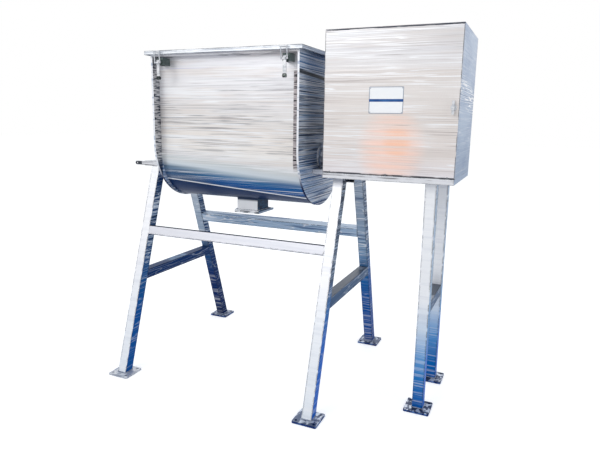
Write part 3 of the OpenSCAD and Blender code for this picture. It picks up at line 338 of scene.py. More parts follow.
def plate_sheet():
    """End plates: white edge strips, and faces turned to +X painted dark with shade and a blue
    floor reflection, crossed by bright film lines painted as glints.
    """
    p = Paint("plate_sheet", roughness=0.34, metallic=0.3, specular=0.08)
    y, z = p.place["y"], p.place["z"]
    # Painted shade and blue floor reflection of the faces turned to +X, over height
    dark = p.ramp(z, [
        (0.92, (0, 52, 108)), (1.05, (0, 66, 126)), (1.13, (4, 54, 104)), (1.22, (6, 36, 72)),
        (1.27, (30, 30, 44)), (1.31, (12, 32, 60)), (1.40, (20, 50, 88)), (1.57, (24, 58, 100)),
        (1.60, (70, 116, 168)), (1.68, (76, 124, 178))])
    front = p.times(p.span(z, 1.20, 1.12), p.span(y, -0.02, -0.16))
    dark = p.mix(p.times(front, 0.6), dark, (16, 102, 166))
    fall = (0.10, 0.0)
    side = dark
    broad = ((60.0, 0.56, 0.5, (10, 22, 44)), (150.0, 0.53, 0.45, (140, 166, 198)))
    for k, (fine, cut, amount, tone) in enumerate(broad):
        line = p.streaks((0.8, 0.9 + k, fine), cut, cut + 0.055, seed=11.0 + 4 * k, detail=2.0,
                         tilt=fall)
        side = p.mix(p.times(line, amount), side, tone)
    films = ((66.0, 0.045, (140, 168, 202)), (96.0, 0.05, (196, 212, 234)), (60.0, 0.022, WHITE),
             (140.0, 0.045, WHITE))
    for k, (fine, width, tone) in enumerate(films):
        here = p.streaks((3.0, 3.0, 16.0), 0.30, 0.48, seed=71.0 + k, tilt=fall, detail=2.0)
        line = p.wrinkles((0.4, 0.6, fine), width, seed=90.0 + 6 * k, tilt=fall)
        side = p.mix(p.times(line, here, 0.85), side, tone)
    sloped = p.slope("z", "y", PLATE_SLOPE)
    black = p.band(sloped, *PLATE_BLACK, 0.005)
    side = p.mix(p.times(black, 0.9), side, (6, 9, 18))
    side = p.mix(p.band(sloped, *PLATE_LINE, 0.003), side, (214, 224, 238))
    # The proud strips beside the shell repeat the light edges in short dashes, and turn to a
    # painted dark blue reflection lower down
    dash = p.streaks((0.1, 14.0, 120.0), 0.42, 0.54, seed=14.0, tilt=(0.0, 0.0), detail=3.0)
    proud = p.times(p.span(y, *PLATE_STRIP), p.span(p.place["x"], 0.0, -0.1))
    strip = p.mix(dash, (34, 40, 54), (196, 196, 198))
    strip = p.mix(p.span(z, 1.16, 1.10), strip, (12, 30, 60))
    side = p.mix(p.times(proud, 0.9), side, strip)
    rim_line = p.streaks((0.8, 0.8, 60.0), 0.54, 0.64, seed=17.0, detail=3.0)
    rim = p.mix(rim_line, (240, 242, 247), (188, 198, 214))
    # Painted blue floor reflection at the foot of the rims
    rim = p.mix(p.span(z, 1.08, 1.0), rim, (20, 60, 116))
    outer = p.mix(p.times(rim_line, 0.55), (222, 226, 234), (150, 164, 188))
    films = ((50.0, 0.02, (120, 134, 160)), (40.0, 0.016, WHITE), (90.0, 0.03, WHITE))
    for k, (fine, width, tone) in enumerate(films):
        line = p.wrinkles((0.4, 0.5, fine), width, seed=141.0 + 4 * k, tilt=fall)
        outer = p.mix(p.times(line, 0.7), outer, tone)
    # Painted blue floor reflection at the foot of the faces turned to -X
    outer = p.mix(p.span(z, 1.12, 1.0), outer, (24, 84, 150))
    colour = p.mix(p.mask("x", 1.0), rim, side)
    colour = p.mix(p.mask("x", -1.0), colour, outer)
    # Painted shade on the undersides and on the faces turned to the rear
    colour = p.mix(p.mask("z", -1.0, 0.3, 0.7), colour, (10, 36, 82))
    colour = p.mix(p.mask("y", 1.0), colour, (176, 186, 202))
    p.colour(colour)
    film_bump(p, 0.2)
    return p.mat


def box_sheet(name, door=False):
    """Drive cabinet: beige-white front, with a painted warm highlight on the door, and blue-grey
    sides painted with shade and reflection.
    """
    p = Paint(name, roughness=0.34, metallic=0.35)
    x, y, z = p.place["x"], p.place["y"], p.place["z"]
    front = p.ramp(z, [
        (1.11, (232, 227, 231)), (1.2, (233, 225, 222)), (1.35, (226, 219, 215)),
        (1.52, (226, 221, 219)), (1.64, (220, 219, 222)), (1.75, (208, 210, 215))])
    rise = (0.0, 0.05)
    broad = p.streaks((0.9, 0.9, 26.0), 0.46, 0.66, seed=21.0, detail=3.0, tilt=rise)
    front = p.mix(p.times(broad, 0.5), front, (214, 205, 200))
    films = ((60.0, 0.018, 0.55, (150, 140, 140)), (110.0, 0.028, 0.4, (166, 156, 156)),
             (46.0, 0.014, 0.9, WHITE), (76.0, 0.024, 0.8, WHITE), (130.0, 0.03, 0.6, WHITE))
    for k, (fine, width, amount, tone) in enumerate(films):
        line = p.wrinkles((0.4 + 0.2 * k, 0.4, fine), width, seed=121.0 + 3 * k, tilt=rise)
        here = p.streaks((2.6, 2.6, 8.0), 0.44, 0.58, seed=37.0 + k, detail=1.5)
        front = p.mix(p.times(line, here, amount), front, tone)
    fine = p.streaks((0.9, 0.9, 110.0), 0.55, 0.68, seed=21.0, detail=3.0, tilt=rise)
    if door:
        # Painted warm highlight on the door: a soft spot and a brighter core
        def glow(at_x, at_z, rx, rz):
            dx = p.math("DIVIDE", p.math("SUBTRACT", x, at_x), rx)
            dz = p.math("DIVIDE", p.math("SUBTRACT", z, at_z), rz)
            return p.span(p.math("ADD", p.times(dx, dx), p.times(dz, dz)), 1.0, 0.0)
        soft = p.streaks((1.0, 1.0, 70.0), 0.36, 0.62, seed=24.0, tilt=rise)
        warm = p.times(glow(*GLOW), p.math("MULTIPLY_ADD", soft, 0.6, 0.35))
        front = p.mix(warm, front, (255, 216, 200))
        highlight_core = p.times(glow(*GLOW_CORE), soft)
        front = p.mix(p.times(highlight_core, 0.7), front, (255, 200, 168))
        # Dark outline of the door leaf, broken at places
        low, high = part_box("door")
        gaps = p.streaks((16.0, 16.0, 16.0), 0.36, 0.50, seed=29.0, detail=2.0)
        outline = p.span(x, low.x + 0.0035, low.x + 0.0015)
        for strip in (p.span(z, low.z + 0.005, low.z + 0.003),
                      p.span(z, high.z - 0.004, high.z - 0.002),
                      p.times(p.span(x, high.x - 0.003, high.x - 0.0015), gaps)):
            outline = p.math("MAXIMUM", outline, strip)
        front = p.mix(p.times(outline, p.math("MULTIPLY_ADD", gaps, 0.55, 0.3)), front, INK)
    # Right sides: painted blue-grey shade and reflection, clouded darker in places
    side = p.ramp(z, [
        (1.1, (150, 170, 198)), (1.35, (158, 178, 204)), (1.6, (164, 182, 208)),
        (1.75, (180, 196, 218))])
    cloud = p.streaks((2.0, 4.0, 9.0), 0.45, 0.66, seed=25.0, detail=3.0, tilt=(0.5, 0.0))
    side = p.mix(p.times(cloud, 0.55), side, (124, 148, 184))
    # Bundle of film that rises to the rear over the right side, its bright lines painted glints
    bundle = p.band(p.slope("z", "y", BUNDLE_SLOPE), *BUNDLE, 0.03)
    bundle = p.math("MULTIPLY_ADD", bundle, 0.75, 0.2)
    films = ((70.0, 0.03, (96, 122, 160)), (50.0, 0.02, WHITE), (90.0, 0.03, WHITE))
    for k, (fine_z, width, tone) in enumerate(films):
        glint = p.wrinkles((2.0, 1.2, fine_z), width, seed=26.0 + 5 * k, tilt=(BUNDLE_SLOPE, 0.0))
        side = p.mix(p.times(glint, bundle), side, tone)
    rear_dash = p.streaks((30.0, 30.0, 60.0), 0.46, 0.54, seed=28.0, detail=2.0)
    side = p.mix(p.times(p.span(y, *BOX_REAR), rear_dash, 0.8), side, INK)
    colour = p.mix(p.mask("x", 1.0), front, side)
    colour = p.mix(p.mask("x", -1.0), colour, p.mix(fine, (86, 104, 136), (190, 200, 214)))
    brushed = p.streaks((3.0, 150.0, 150.0), 0.35, 0.66, seed=38.0, tilt=(0.0, 0.0), detail=4.0)
    top = p.mix(p.times(brushed, 0.5), (234, 238, 244), (186, 196, 212))
    # Brushed top; painted dark blue shade underneath and painted blue-grey shade on faces turned
    # to the rear
    colour = p.mix(p.mask("z", 1.0), colour, top)
    colour = p.mix(p.mask("z", -1.0), colour, p.mix(brushed, (96, 118, 156), (126, 146, 180)))
    colour = p.mix(p.mask("y", 1.0), colour, p.mix(0.35, front, (200, 208, 222)))
    p.colour(colour)
    film_bump(p, 0.2)
    return p.mat


def lid_sheet():
    """Lid: near-white folded sheet with grey scores along its skirt, and painted shade on its
    underside.
    """
    p = Paint("lid_sheet", roughness=0.25, metallic=0.45)
    z = p.place["z"]
    fine = p.streaks((0.7, 0.7, 300.0), 0.52, 0.60, seed=31.0, tilt=(0.0, 0.0), detail=3.0)
    broken = p.streaks((6.0, 6.0, 30.0), 0.40, 0.58, seed=32.0, tilt=(0.0, 0.0))
    edge = p.mix(p.times(fine, broken, 0.6), (240, 244, 249), (104, 118, 144))
    top_line = p.times(p.span(z, *SKIRT_TOP), p.math("MULTIPLY_ADD", broken, 0.6, 0.2))
    edge = p.mix(top_line, edge, (58, 68, 88))
    low_line = p.times(p.span(z, *SKIRT_FOOT), p.math("MULTIPLY_ADD", broken, 0.6, 0.25))
    edge = p.mix(low_line, edge, (70, 82, 106))
    brushed = p.streaks((3.0, 160.0, 160.0), 0.35, 0.65, seed=33.0, tilt=(0.0, 0.0), detail=4.0)
    top = p.mix(p.times(brushed, 0.35), (232, 236, 243), (202, 210, 223))
    colour = p.mix(p.mask("z", 1.0), edge, top)
    # Painted shade on the underside
    under = p.mix(p.times(brushed, 0.6), (176, 186, 202), (132, 144, 164))
    colour = p.mix(p.mask("z", -1.0), colour, under)
    p.colour(dashed_edges(p, colour, 34.0, amount=0.6, radius=0.005))
    film_bump(p, 0.12)
    return p.mat


def tube_steel(name, fronts, sides, seed, top=((60, 72, 92), (176, 184, 194)), film=0.8,
               veil_and_shade=0.0, top_line=None):
    """Square tube wrapped in film, with painted shade and a painted blue floor reflection.

    fronts and sides are the colour, or the stops over height, of its front and of its right side,
    which is painted with shade and a blue floor reflection. film and veil are the amounts of
    crossing film lines on them, veil also that of painted shade streaks on the front, and
    top_line is the height over which the front is dark.
    """
    p = Paint(name, roughness=0.36, metallic=0.3, specular=0.04)
    z = p.place["z"]
    front, side = (p.ramp(z, c) if isinstance(c, list) else c for c in (fronts, sides))
    soft = p.streaks((2.0, 2.0, 50.0), 0.45, 0.7, seed=seed)
    front = p.mix(p.times(soft, 0.3), front, p.mix(0.5, front, (150, 160, 186)))
    above = p.span(z, BLUE_REFLECTION_TOP_Z, BLUE_REFLECTION_TOP_Z + 0.3)
    across = p.streaks((3.0, 3.0, 130.0), 0.52, 0.60, seed=seed + 1.0, tilt=(0.3, 0.2))
    shade = p.streaks((3.0, 3.0, 80.0), 0.54, 0.62, seed=seed + 7.0, tilt=(0.3, 0.2))
    # Painted shade streaks, and bright painted glints of the film, over the right side above the
    # reflected blue foot
    side = p.mix(p.times(shade, above, 0.7), side, p.mix(0.7, side, BLACK))
    side = p.mix(p.times(across, above, film), side, (176, 196, 220))
    films = ((30.0, 0.016, (0.35, 0.25)), (16.0, 0.008, (0.9, 0.7)), (20.0, 0.009, (-0.6, -0.5)))
    for k, (fine, width, tilt) in enumerate(films):
        line = p.wrinkles((2.0, 2.0, fine), width, seed=seed + 2.0 + k, tilt=tilt)
        share = p.math("MULTIPLY_ADD", above, 0.5, 0.22)
        side = p.mix(p.times(line, share), side, (224, 234, 246))
        if veil_and_shade:
            share = p.math("MULTIPLY_ADD", above, 0.8 * veil_and_shade, 0.2 * veil_and_shade)
            front = p.mix(p.times(line, share), front, WHITE)
    # Painted shade streaks on the front
    if veil_and_shade:
        front = p.mix(p.times(shade, above, veil_and_shade), front, (52, 84, 130))
    if top_line:
        front = p.mix(p.span(z, top_line - 0.0008, top_line + 0.0008), front, INK)
    # White film streaks over the painted blue floor reflection at the foot of the front
    low_front = p.streaks((2.0, 2.0, 90.0), 0.50, 0.60, seed=seed + 4.0, tilt=(0.05, 0.05))
    front = p.mix(p.times(low_front, p.span(z, 0.55, 0.2), 0.3), front, WHITE)
    # Right side painted with shade; faces turned away get a painted blue floor reflection at the
    # foot, undersides painted shade
    colour = p.mix(p.mask("x", 1.0), front, side)
    hidden = p.mix(p.times(soft, 0.6), (222, 227, 236), (160, 176, 202))
    hidden = p.mix(p.times(across, above, 0.5), hidden, (92, 108, 138))
    hidden = p.mix(p.span(z, BLUE_REFLECTION_TOP_Z, BLUE_REFLECTION_TOP_Z - 0.35), hidden, (46, 108, 176))
    colour = p.mix(p.math("MAXIMUM", p.mask("x", -1.0), p.mask("y", 1.0)), colour, hidden)
    colour = p.mix(p.mask("z", 1.0, 0.6, 0.9), colour, p.mix(across, *top))
    colour = p.mix(p.mask("z", -1.0, 0.6, 0.9), colour, (40, 64, 106))
    p.colour(dashed_edges(p, colour, seed + 3.0, amount=0.85, radius=0.008))
    film_bump(p, 0.25)
    return p.mat


def deck_steel():
    """Deck, shelf and flat tubes: pale edges scored by thin dark lines, painted blue-grey shade
    on the right faces and painted dark shade underneath.
    """
    p = Paint("deck_steel", roughness=0.3, metallic=0.4)
    fine = p.streaks((1.0, 1.0, 260.0), 0.52, 0.60, seed=51.0, tilt=(0.0, 0.01))
    broken = p.streaks((5.0, 5.0, 14.0), 0.42, 0.60, seed=52.0)
    edge = p.mix(p.times(fine, broken), (230, 231, 236), (104, 102, 106))
    # Painted shade on the right faces and underneath, brushed tops
    colour = p.mix(p.mask("x", 1.0), edge, (160, 180, 208))
    brushed = p.streaks((60.0, 4.0, 60.0), 0.35, 0.65, seed=53.0, detail=4.0)
    colour = p.mix(p.mask("z", 1.0), colour, p.mix(brushed, (188, 196, 208), (216, 221, 229)))
    colour = p.mix(p.mask("z", -1.0), colour, p.mix(brushed, (44, 66, 102), (78, 100, 138)))
    # Dark cut end of the shelf's tube at the left
    cut = p.mix(fine, (40, 44, 54), (120, 124, 132))
    colour = p.mix(p.span(p.place["x"], *SHELF_END), colour, cut)
    p.colour(dashed_edges(p, colour, 54.0, amount=0.75, radius=0.006))
    film_bump(p, 0.2)
    return p.mat


def chute_sheet():
    """Outlet: white front under a painted shadow line, right side painted dark blue with shade,
    pale flange with dashes, painted shade underneath.
    """
    p = Paint("chute_sheet", roughness=0.32, metallic=0.3, specular=0.1)
    z = p.place["z"]
    dash = p.streaks((26.0, 26.0, 90.0), 0.46, 0.56, seed=101.0, detail=2.0)
    # Painted shadow line at the top of the front, under the trough
    front = p.mix(p.span(z, *CHUTE_SHADOW_LINE), (236, 238, 242), (48, 62, 88))
    low = p.times(p.span(z, *CHUTE_DASHES), dash)
    front = p.mix(p.times(low, 0.8), front, (70, 78, 92))
    # Right side painted dark with shade
    side = p.mix(dash, (8, 42, 70), (30, 72, 104))
    flange = p.span(z, *CHUTE_FLANGE)
    side = p.mix(flange, side, (150, 168, 190))
    colour = p.mix(p.mask("x", 1.0), front, side)
    colour = p.mix(p.mask("z", 1.0), colour, p.mix(dash, (226, 230, 237), (150, 158, 170)))
    # Painted shade underneath
    colour = p.mix(p.mask("z", -1.0), colour, (30, 48, 80))
    p.colour(dashed_edges(p, colour, 102.0, amount=0.8))
    film_bump(p, 0.15)
    return p.mat


def worked_steel(name, base, dark, scale=(5.0, 160.0, 160.0), roughness=0.28, metallic=0.85):
    """Turned, ground or drawn steel with its tool marks and a few stains."""
    p = Paint(name, metallic=metallic, specular=0.5)
    marks = p.streaks(scale, 0.35, 0.68, seed=61.0, tilt=(0.0, 0.0), detail=4.0)
    stain = p.streaks((14.0, 14.0, 14.0), 0.52, 0.72, seed=62.0)
    colour = p.mix(p.times(marks, 0.5), base, dark)
    colour = p.mix(p.times(stain, 0.4), colour, dark)
    p.colour(colour)
    p.feed(p.bsdf.inputs["Roughness"], p.math("MULTIPLY_ADD", marks, 0.16, roughness))
    p.rounded(p.bump(marks, 0.08, 0.001), 0.0012)
    return p.mat


def latch_steel(name, base, ring=None):
    """Latch pieces: pale under film, with a dark ring at the lever's knob."""
    p = Paint(name, roughness=0.3, metallic=0.5, specular=0.3)
    wear = p.streaks((60.0, 60.0, 60.0), 0.44, 0.62, seed=111.0)
    colour = p.mix(p.times(wear, 0.5), base, (140, 150, 160))
    if ring:
        dark = p.mix(wear, (36, 44, 46), (150, 158, 152))
        colour = p.mix(p.band(p.place["z"], *ring, 0.003), colour, dark)
    p.colour(dashed_edges(p, colour, 112.0, amount=0.5, radius=0.0015, fineness=80.0))
    p.rounded(p.bump(wear, 0.1, 0.0006), 0.001)
    return p.mat


def cast_paint(name, base, worn):
    """Enamel over a rough casting, rubbed thin at places."""
    p = Paint(name, metallic=0.0, coat=0.15, specular=0.3)
    grain = p.streaks((380.0, 380.0, 380.0), 0.3, 0.7, seed=71.0, detail=2.0)
    patch = p.streaks((9.0, 9.0, 9.0), 0.48, 0.72, seed=72.0)
    colour = p.mix(p.times(patch, 0.5), base, worn)
    colour = p.mix(p.times(grain, 0.12), colour, (210, 216, 224))
    p.colour(colour)
    p.feed(p.bsdf.inputs["Roughness"], p.math("MULTIPLY_ADD", patch, 0.2, 0.36))
    p.rounded(p.bump(grain, 0.3, 0.0008), 0.002)
    return p.mat


def soft_black(name, base, roughness=0.7, scale=260.0):
    """Rubber, packing or moulded plastic with a fine grain and dust."""
    p = Paint(name, metallic=0.0, specular=0.4)
    grain = p.streaks((scale, scale, scale), 0.3, 0.7, seed=81.0, detail=2.0)
    dust = p.streaks((12.0, 12.0, 30.0), 0.5, 0.8, seed=82.0)
    p.colour(p.mix(p.times(dust, 0.3), base, (150, 152, 156)))
    p.feed(p.bsdf.inputs["Roughness"], p.math("MULTIPLY_ADD", grain, 0.2, roughness - 0.1))
    p.bump(grain, 0.2, 0.0006)
    return p.mat


def foot_steel():
    """Foot plates: pale at the left front, slate with scuffs elsewhere, darker towards the right,
    with a blue rim that is a painted floor reflection.
    """
    p = Paint("foot_steel", roughness=0.35, metallic=0.4, specular=0.1)
    scuff = p.streaks((46.0, 30.0, 46.0), 0.47, 0.58, seed=91.0, tilt=(0.3, 0.2))
    top = p.mix(p.span(p.place["x"], 0.0, 0.6), (112, 124, 150), (44, 58, 86))
    top = p.mix(p.times(scuff, 0.75), top, (212, 220, 232))
    # The plates' edges carry a painted blue floor reflection
    colour = p.mix(p.mask("z", 1.0, 0.5, 0.9), p.mix(scuff, (20, 50, 112), (92, 128, 186)), top)
    pale = p.mix(p.times(scuff, 0.6), (214, 218, 226), (120, 134, 160))
    left = p.times(p.span(p.place["x"], -0.4, -0.6), p.span(p.place["y"], 0.0, -0.1))
    colour = p.mix(left, colour, pale)
    p.colour(dashed_edges(p, colour, 92.0, amount=0.9))
    film_bump(p, 0.2)
    return p.mat


TROUGH = trough_sheet()
PLATE = plate_sheet()
BOX = box_sheet("box_sheet")
DOOR = box_sheet("door_sheet", door=True)
LID = lid_sheet()
DECK = deck_steel()
CHUTE = chute_sheet()
BRIGHT = worked_steel("bright_steel", (196, 200, 206), (128, 134, 144))
ZINC = worked_steel("zinc_steel", (186, 190, 198), (104, 110, 122), scale=(90.0, 90.0, 90.0),
                    roughness=0.25)
MACHINED = worked_steel("machined_iron", (120, 124, 130), (62, 66, 74), scale=(60.0, 60.0, 60.0),
                        roughness=0.35)
LATCH = latch_steel("latch_steel", (222, 224, 228))
LEVER = latch_steel("lever_steel", (226, 227, 230), ring=LEVER_RING)
WELD = worked_steel("weld_steel", (150, 160, 178), (52, 72, 108), scale=(120.0, 120.0, 120.0),
                    roughness=0.35)
# Latch bases: dark grey-green steel, darkened further by painted shade under the lid
HARDWARE = cast_paint("dark_hardware", (66, 84, 80), (28, 38, 40))
CASTING = cast_paint("cast_housing", (24, 40, 68), (60, 74, 98))
ENAMEL = cast_paint("drive_enamel", (58, 92, 136), (40, 66, 104))
RUBBER = soft_black("seal_rubber", (30, 31, 34))
PACKING = soft_black("packing_yarn", (120, 110, 88), scale=500.0)
PLASTIC = soft_black("black_plastic", (24, 25, 28), roughness=0.5)
FEET = foot_steel()

# The blues low on the legs' sides and fronts are painted reflections of a blue floor; the dark
# side tones, the rear rail's blue-grey front and the braces' dark sides are painted shade
LEG_LEFT = tube_steel(
    "leg_left_steel", PLAIN_FRONT,
    [(0.0, DEEP), (0.30, (8, 84, 158)), (0.48, (20, 84, 146)), (0.70, (44, 76, 118)),
     (1.12, (52, 84, 126))],
    41.0)
LEG_MID = tube_steel(
    "leg_mid_steel", PLAIN_FRONT,
    [(0.0, VIVID), (0.34, (8, 102, 200)), (0.48, (40, 110, 180)), (0.62, (70, 92, 122)),
     (1.12, (46, 58, 80))],
    44.0)
LEG_BACK = tube_steel(
    "leg_back_steel",
    [(0.0, (2, 70, 150)), (0.34, (4, 84, 160)), (0.50, (40, 112, 176)), (0.66, (150, 178, 206)),
     (0.82, (150, 168, 190)), (1.12, (190, 204, 220))],
    [(0.0, (2, 60, 140)), (0.40, (4, 84, 166)), (0.62, (40, 94, 146)), (0.80, (58, 82, 116)),
     (1.12, (48, 70, 104))],
    47.0, veil_and_shade=0.75)
LEG_CORNER = tube_steel(
    "leg_corner_steel",
    [(0.0, (0, 34, 86)), (0.34, (2, 44, 104)), (0.50, (24, 84, 140)), (0.64, (150, 170, 192)),
     (1.12, (214, 222, 230))],
    [(0.0, (0, 34, 88)), (0.40, (2, 46, 104)), (0.62, (24, 62, 110)), (0.80, (52, 76, 112)),
     (1.12, (46, 66, 98))],
    48.0, veil_and_shade=0.4)
LEG_DRIVE = tube_steel(
    "leg_drive_steel",
    [(0.0, (0, 88, 172)), (0.14, (16, 110, 186)), (0.26, (90, 154, 214)), (0.40, (206, 222, 240)),
     (0.55, (244, 246, 250)), (1.12, (250, 251, 254))],
    [(0.0, VIVID), (0.22, (8, 108, 214)), (0.42, (90, 152, 206)), (0.62, (160, 186, 212)),
     (1.12, (180, 200, 222))],
    50.0)
RAIL = tube_steel("rail_steel", (224, 225, 232), SLATE, 53.0,
                  top=((38, 48, 70), (160, 172, 190)), top_line=RAIL_DARK_Z)
RAIL_BACK = tube_steel("rail_back_steel", (166, 190, 216), SLATE, 56.0,
                       top=((196, 210, 226), (122, 146, 180)), veil_and_shade=0.8)
BRACE_LEFT = tube_steel("brace_left_steel", (188, 198, 214), (4, 50, 104), 59.0,
                        top=((20, 56, 104), (110, 140, 176)), film=0.25)
BRACE = tube_steel("brace_steel", (188, 198, 214), (50, 86, 126), 62.0,
                   top=((84, 92, 104), (196, 202, 210)))

FINISHES = (
    (LEG_LEFT, "leg_left_front"),
    (LEG_MID, "leg_mid_front"),
    (LEG_CORNER, "leg_left_rear"),
    (LEG_BACK, "leg_mid_rear"),
    (LEG_DRIVE, "drive_legs"),
    (FEET, "foot_plates"),
    (RAIL, "rail_front"),
    (RAIL_BACK, "rail_rear"),
    (BRACE_LEFT, "brace_left"),
    (BRACE, "brace_mid brace_drive"),
    (DECK, "bearing_shelf drive_deck cross_tube trough_bracket seal_housings "
           "lid_hinge_brackets motor_platform platform_posts"),
    (TROUGH, "trough_shell rim_angles"),
    (PLATE, "end_plate_left end_plate_right"),
    (CHUTE, "discharge_chute gate_frame"),
    (LID, "lid"),
    (BOX, "cover_sides cover_top rear_panel"),
    (DOOR, "door"),
    (BRIGHT, "slide_gate seal_glands lid_hinge_pins agitator_shaft agitator_arms "
             "outer_ribbon_left outer_ribbon_right inner_ribbons bearing_outer_rings "
             "bearing_inner_rings gearbox_shaft"),
    (ZINC, "gate_bolts seal_bolts hold_down_bolts"),
    (MACHINED, "shaft_pulley drive_pulley"),
    (HARDWARE, "latch_bases"),
    (LATCH, "latch_keepers latch_loop_left latch_loop_right door_latch"),
    (LEVER, "latch_lever_left latch_lever_right"),
    (CASTING, "bearing_housings"),
    (ENAMEL, "gearbox motor"),
    (RUBBER, "lid_gasket drive_belts"),
    (PACKING, "seal_packing"),
    (PLASTIC, "cable_gland"),
)
FINISH = {name: mat for mat, names in FINISHES for name in names.split()}
for name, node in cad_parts.items():
    node.data.materials.clear()
    node.data.materials.append(FINISH[name])


# Pieces that the solids leave to the scene

def piece(name, bm, mat, body, smooth=False):
    mesh = bpy.data.meshes.new(name)
    bm.normal_update()
    bm.to_mesh(mesh)
    bm.free()
    obj = bpy.data.objects.new(name, mesh)
    bpy.context.scene.collection.objects.link(obj)
    mesh.materials.append(mat)
    for f in mesh.polygons:
        f.use_smooth = smooth
    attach(obj, body)
    return obj


def rounded_slab(bm, x0, x1, z0, z1, y_back, depth, r, steps=6):
    """Thin plate with round corners standing in front of y_back."""
    ring = []
    corners = ((x1 - r, z1 - r, 0), (x0 + r, z1 - r, 90),
               (x0 + r, z0 + r, 180), (x1 - r, z0 + r, 270))
    for cx, cz, a0 in corners:
        for i in range(steps + 1):
            a = math.radians(a0 + 90 * i / steps)
            ring.append((cx + r * math.cos(a), cz + r * math.sin(a)))
    front = [bm.verts.new((x, y_back - depth, z)) for x, z in ring]
    back = [bm.verts.new((x, y_back, z)) for x, z in ring]
    bm.faces.new(front[::-1])
    bm.faces.new(back)
    n = len(ring)
    for i in range(n):
        bm.faces.new((front[i], front[(i + 1) % n], back[(i + 1) % n], back[i]))
    bmesh.ops.recalc_face_normals(bm, faces=bm.faces[:])


def stud(bm, x, y, z, r, rise):
    """Low round head standing out of a front face."""
    ring_count, turns, sink = 4, 16, 0.0004
    rows = []
    for i in range(ring_count):
        a = math.radians(90 * i / ring_count)
        ring_r, ring_y = r * math.cos(a), y - rise * math.sin(a)
        rows.append([])
        for k in range(turns):
            turn = math.tau * k / turns
            rows[-1].append(bm.verts.new(
                (x + ring_r * math.cos(turn), ring_y, z + ring_r * math.sin(turn))))
    crown = bm.verts.new((x, y - rise, z))
    foot = [bm.verts.new((v.co.x, y + sink, v.co.z)) for v in rows[0]]
    rows.insert(0, foot)
    for low, high in zip(rows, rows[1:]):
        for k in range(turns):
            bm.faces.new((low[k], low[(k + 1) % turns], high[(k + 1) % turns], high[k]))
    for k in range(turns):
        bm.faces.new((rows[-1][k], rows[-1][(k + 1) % turns], crown))
    bm.faces.new(foot[::-1])


def weld_bead(bm, path, r):
    """Rippled bead round a closed path of points, with eight sides."""
    pitch, ripple, sides = 0.0045, 0.16, 8
    points = []
    for p0, p1 in zip(path, path[1:] + path[:1]):
        steps = max(2, round((p1 - p0).length / pitch))
        points += [p0.lerp(p1, i / steps) for i in range(steps)]
    n, rings = len(points), []
    for i, c in enumerate(points):
        along = (points[(i + 1) % n] - points[i - 1]).normalized()
        out = along.orthogonal().normalized()
        other = along.cross(out)
        swell = r * (1.0 + ripple * math.sin(i * math.tau / 3))
        rings.append([])
        for k in range(sides):
            turn = math.tau * k / sides
            rings[-1].append(bm.verts.new(
                c + swell * (math.cos(turn) * out + math.sin(turn) * other)))
    for low, high in zip(rings, rings[1:] + rings[:1]):
        # Match the ring ahead to this one where the path turns a corner
        def apart(k, vert):
            return (high[k % sides].co - vert.co).length
        first = min(range(sides), key=lambda k: apart(k, low[0]))
        step = 1 if apart(first + 1, low[1]) < apart(first - 1, low[1]) else -1
        for k in range(sides):
            a, b = high[(first + step * k) % sides], high[(first + step * (k + 1)) % sides]
            bm.faces.new((low[k], low[(k + 1) % sides], b, a))
    bmesh.ops.recalc_face_normals(bm, faces=bm.faces[:])


def outline_at(node, z):
    """Corners of the box round a leg's section at height z: one box each side of Y 0."""
    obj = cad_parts[node]
    cuts = []
    for e in obj.data.edges:
        a, b = (obj.matrix_world @ obj.data.vertices[i].co for i in e.vertices)
        if (a.z - z) * (b.z - z) < 0:
            cuts.append(a.lerp(b, (z - a.z) / (b.z - a.z)))
    boxes = []
    for group in ([c for c in cuts if c.y < 0], [c for c in cuts if c.y >= 0]):
        if group:
            xs, ys = [c.x for c in group], [c.y for c in group]
            x0, x1, y0, y1 = min(xs), max(xs), min(ys), max(ys)
            boxes.append([Vector((x, y, z)) for x, y in ((x0, y0), (x1, y0), (x1, y1), (x0, y1))])
    return boxes


CARD_X0, CARD_X1, CARD_Z0, CARD_Z1 = 0.4945, 0.6465, 1.386, 1.500
CARD_T = 0.0008
CARD_CORNER_R = 0.004
CARD_RIM = 0.003
CARD_BAND_LOW, CARD_BAND_HIGH = 0.050, 0.062  # over the card's foot
RIVET_INSET, RIVET_R, RIVET_RISE = 0.006, 0.0024, 0.0012
STUD_R, STUD_RISE, STUD_DROP = 0.0048, 0.0035, 0.010
STUD_FROM_LEFT, STUD_FROM_RIGHT = 0.034, 0.030
BEAD_R, BEAD_LIFT = 0.0028, 0.002


def card_face():
    """Blank card: white, with a grey rim and a plain blue band across the middle."""
    p = Paint("blank_card", roughness=0.35, metallic=0.0, coat=0.3)
    x, z = p.place["x"], p.place["z"]
    tone = p.streaks((20.0, 20.0, 60.0), 0.3, 0.8, seed=95.0)
    colour = p.mix(p.times(tone, 0.3), (252, 253, 255), (236, 242, 250))
    inner = p.times(p.band(x, CARD_X0 + CARD_RIM, CARD_X1 - CARD_RIM, 0.001),
                    p.band(z, CARD_Z0 + CARD_RIM, CARD_Z1 - CARD_RIM, 0.001))
    colour = p.mix(inner, (150, 160, 176), colour)
    band = p.band(z, CARD_Z0 + CARD_BAND_LOW, CARD_Z0 + CARD_BAND_HIGH, 0.0015)
    p.colour(p.mix(band, colour, p.mix(tone, (24, 72, 138), (50, 108, 174))))
    p.bump(tone, 0.05, 0.0005)
    return p.mat


door_low, door_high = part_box("door")
bm = bmesh.new()
rounded_slab(bm, CARD_X0, CARD_X1, CARD_Z0, CARD_Z1, door_low.y, CARD_T, CARD_CORNER_R)
piece("blank_card", bm, card_face(), "door")

